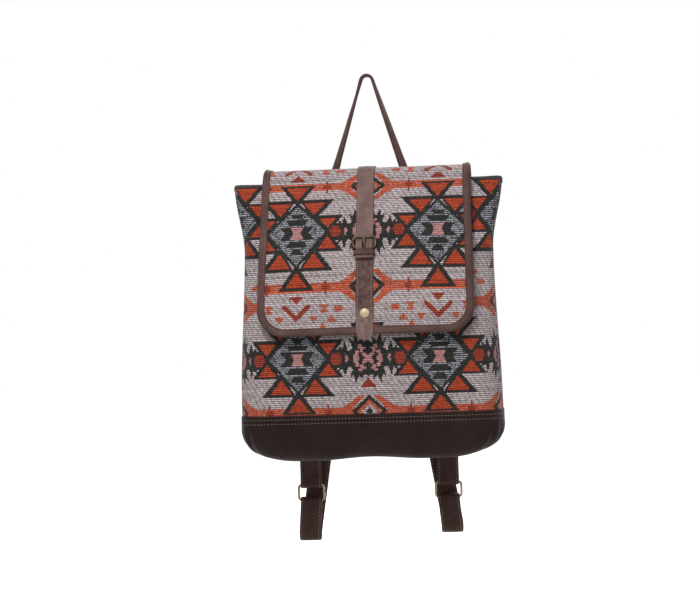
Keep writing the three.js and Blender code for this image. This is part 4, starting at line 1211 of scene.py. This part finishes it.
def handle():
    radius, centre_z = 7.0, -5.3
    lean = math.atan2(50 - radius, centre_z + 140)
    turns = np.linspace(lean, math.pi - lean, 13)
    arc = [(radius * math.cos(a), 0, centre_z + radius * math.sin(a)) for a in turns]
    start = np.array([49, 0, -136.0])
    leg = [start + (np.array(arc[0]) - start) * t for t in np.linspace(0, 0.93, 8)]
    right = [(50, 0, -162), (50, 0, -144), *leg]
    left = [(-x, y, z) for x, y, z in right][::-1]
    path = spaced([*right, *arc, *left], 1.6)

    def across_at(along, at):
        angle = HALF_TURN * np.interp(at[:, 2], *np.transpose(HANDLE_TWIST))
        outward_way = xyz(along[:, 2], 0, -along[:, 0]) * np.cos(angle)[:, None]
        outward_way[:, 1] = np.sin(angle)
        return outward_way

    width, thickness, groove = HANDLE
    piece = strap("handle_leather", path, width, thickness, brown_leather, groove, across_at)
    dress(piece, "bag", "brown_leather", "handle")
    stitches("handle_stitching", both_faces(path, *HANDLE, across_at), brown_thread, 3.2, 2.3)


def yoke():
    """The patch on the back that covers the sewn ends of the handle and the shoulder straps."""
    seat, thick, centre_z = 2.05, 2.2, -155
    steps = [(0, 0), (0, 1.5), (0.35, 2.0), (1.0, thick), (2.2, thick), (YOKE_STITCH, thick - 0.2)]
    steps += [(3.4, thick), (6, thick + 0.1), (14, thick + 0.2)]

    def outline(inset, corner, rise):
        loop = rounded_loop(YOKE_WIDTH - 2 * inset, YOKE_HEIGHT - 2 * inset, corner)
        return [(x, seat + rise, centre_z + z) for x, z in loop]

    rings = np.array([outline(inset, max(8 - inset, 2), rise) for inset, rise in steps])
    wear_and_shade = np.repeat([1.0 if inset < 1.2 else 0.1 for inset, _ in steps], rings.shape[1])
    faces = tube_faces(*rings.shape[:2])
    piece = make("yoke_leather", rings, faces, dark_leather, inside=(0, seat + 1, centre_z), wear_and_shade=wear_and_shade)
    dress(piece, "bag", "dark_leather", "strap_yoke")
    line = np.array(outline(YOKE_STITCH, 8 - YOKE_STITCH, thick - 0.15))
    line = np.concatenate([line, line[:1]])
    stitches("yoke_stitching", [(line, np.tile([0, 1.0, 0], (len(line), 1)))], pale_thread, 3.4, 2.4)


handle()
yoke()


# Shoulder straps, rings and tabs

def arc_yz(x, y, z, radius, start, end, count):
    a = np.linspace(start, end, count)
    return [(x, y + radius * math.cos(t), z + radius * math.sin(t)) for t in a]


def shoulder_strap(name, side):
    wrap = RING_BAR + 0.4 + STRAP_LEATHER / 2
    leg_y = RING_Y - wrap
    tail_y = leg_y + STRAP_LEATHER + CLEAR
    bend = (STRAP_BACK_Y - leg_y) / 2
    bend_z = STRAP_LOW_Z[name] + bend + STRAP_LEATHER / 2

    def x_at(z, end_x, end_z):
        return side * mix(STRAP_LOW_X, end_x, float(clamp01((z - bend_z) / (end_z - bend_z))))

    hang = [(-140, 0), (STRAP_TOP_Z, 0), (-192, 2.2), (-225, 5), (-280, 7.5), (-340, 9.5), (-400, 11.5)]
    hang += [(-445, 12.6), (-490, STRAP_BACK_Y)]
    leg = [(leg_y, z) for z in np.linspace(bend_z + 10, RING_BOTTOM_Z - 6, 4)]
    tail = [(RING_Y + wrap - 0.6, -502), (tail_y + 0.4, -510), (tail_y, -526)]
    path = [(x_at(z, STRAP_TOP_X, STRAP_TOP_Z), y, z) for z, y in hang]
    path += arc_yz(side * STRAP_LOW_X, (STRAP_BACK_Y + leg_y) / 2, bend_z, bend, 0, -math.pi, 13)
    path += [(x_at(z, TAB_X, RING_BOTTOM_Z), y, z) for y, z in leg]
    path += arc_yz(side * TAB_X, RING_Y, RING_BOTTOM_Z, wrap, math.pi, 0, 9)
    path += [(x_at(z, TAB_X, RING_BOTTOM_Z), y, z) for y, z in tail]
    path = spaced(path, 1.5)
    piece = strap(f"shoulder_{name}_leather", path, STRAP_WIDTH, STRAP_LEATHER, dark_leather)
    dress(piece, None, "dark_leather", f"shoulder_strap_{name}")
    rows = both_faces(path, STRAP_WIDTH, STRAP_LEATHER)
    sewing = stitches(f"shoulder_{name}_stitching", rows, strap_thread, 3.6, 2.5, body=None)
    for obj in (piece, sewing):
        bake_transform(obj)


def ring(name, side):
    loop = rounded_loop(RING_WIDTH - 2 * RING_BAR, RING_TOP_Z - RING_BOTTOM_Z, 4)
    middle = (RING_TOP_Z + RING_BOTTOM_Z) / 2
    path = [(side * TAB_X + x, RING_Y, middle + z) for x, z in loop]
    piece = closed_tube(f"ring_{name}_brass", path, RING_BAR, antique_brass, (0, 1, 0))
    dress(piece, f"{name}_ring", "antique_brass", f"strap_ring_{name}")


def tab(name, side):
    x, inner = side * TAB_X, RING_Y - CLEAR / 2 - TAB_LEATHER / 2
    outer = inner + TAB_LEATHER + CLEAR
    path = [(x, inner, z) for z in (-394, -412, -430, -448, -460)] + [(x, inner - 0.3, -466)]
    path += arc_yz(x, RING_Y, RING_TOP_Z, RING_BAR + 0.4 + TAB_LEATHER / 2, math.pi, 2 * math.pi, 11)
    path += [(x, outer + 0.3, -466)] + [(x, outer, z) for z in (-460, -448, -430, -412, -400)]
    path = spaced(path, 1.4)
    piece = strap(f"tab_{name}_leather", path, STRAP_WIDTH, TAB_LEATHER, dark_leather)
    dress(piece, "bag", "dark_leather", f"strap_tab_{name}")
    rows = both_faces(path, STRAP_WIDTH, TAB_LEATHER)
    stitches(f"tab_{name}_stitching", rows, strap_thread, 3.6, 2.5)


for name, side in SIDES:
    shoulder_strap(name, side)
    ring(name, side)
    tab(name, side)


# Stage: pale floor, white surroundings and soft light

def seen_directly(tree):
    """1 for rays from the camera, straight or by a reflection or through glass, and 0 for light."""
    rays = add_node(tree, "LightPath").outputs
    seen = math_node(tree, "MAXIMUM", rays["Is Camera Ray"], rays["Is Glossy Ray"])
    return math_node(tree, "MAXIMUM", seen, rays["Is Transmission Ray"])


def stage_floor():
    material, tree, shader = node_material("pale_floor")
    plug(tree, shader, {
        "Base Color": (0.86, 0.86, 0.86, 1),
        "Roughness": 0.9,
        "Specular IOR Level": 0.0,
        "Emission Color": (1, 1, 1, 1),
        "Emission Strength": math_node(tree, "MULTIPLY", seen_directly(tree), 0.9),
    })
    size, z = 9000.0, -640.0
    points = [(-size, -size, z), (size, -size, z), (size, size, z), (-size, size, z)]
    floor = make("floor", points, [[0, 1, 2, 3]], material, inside=(0, 0, z - 10))


def surroundings(light):
    """White to the camera, and a weaker light on the bag."""
    world = bpy.data.worlds.new("studio")
    bpy.context.scene.world = world
    world.use_nodes = True
    tree = world.node_tree
    strength = ramp(tree, seen_directly(tree), 0, 1, light, 1)
    plug(tree, tree.nodes["Background"], {"Color": (1, 1, 1, 1), "Strength": strength})


def soft_box(name, place, target, size, power):
    lamp = bpy.data.lights.new(name, "AREA")
    lamp.shape = "DISK"
    lamp.size = size
    lamp.energy = power
    obj = bpy.data.objects.new(name, lamp)
    bpy.context.scene.collection.objects.link(obj)
    obj.location = place
    obj.rotation_mode = "QUATERNION"
    obj.rotation_quaternion = (Vector(target) - Vector(place)).to_track_quat("-Z", "Y")


stage_floor()
surroundings(0.215)
soft_box("key", (-0.35, -1.3, 1.1), (0, -0.05, -0.3), 0.9, 28.5)
soft_box("fill", (1.6, -2.0, 0.2), (0, -0.05, -0.3), 1.6, 9)
soft_box("rear", (0.5, 2.0, 1.2), (0, 0, -0.3), 1.4, 40)


PHOTO_WIDTH = 700


def camera():
    """A long lens, level with the bag and a little to its right, turned slightly about its own axis."""
    azimuth, elevation, roll = (math.radians(a) for a in (5.8, -0.13, -1.854))
    target, distance = Vector((0, -0.04, -0.27)), 2.715
    level = math.cos(elevation)
    back_way = Vector((math.sin(azimuth) * level, -math.cos(azimuth) * level, math.sin(elevation)))
    right = Vector((0, 0, 1)).cross(back_way).normalized()
    up = back_way.cross(right)
    x = math.cos(roll) * right + math.sin(roll) * up
    y = math.cos(roll) * up - math.sin(roll) * right
    data = bpy.data.cameras.new("camera")
    data.lens = 120.47
    data.sensor_width = 36
    data.sensor_fit = "HORIZONTAL"
    data.shift_x = -20.5 / PHOTO_WIDTH
    data.shift_y = 10.8 / PHOTO_WIDTH
    obj = bpy.data.objects.new("camera", data)
    bpy.context.scene.collection.objects.link(obj)
    turn = Matrix((x, y, back_way)).transposed().to_4x4()
    obj.matrix_world = Matrix.Translation(target + back_way * distance) @ turn
    bpy.context.scene.camera = obj


camera()
bpy.context.scene.view_settings.view_transform = "Standard"
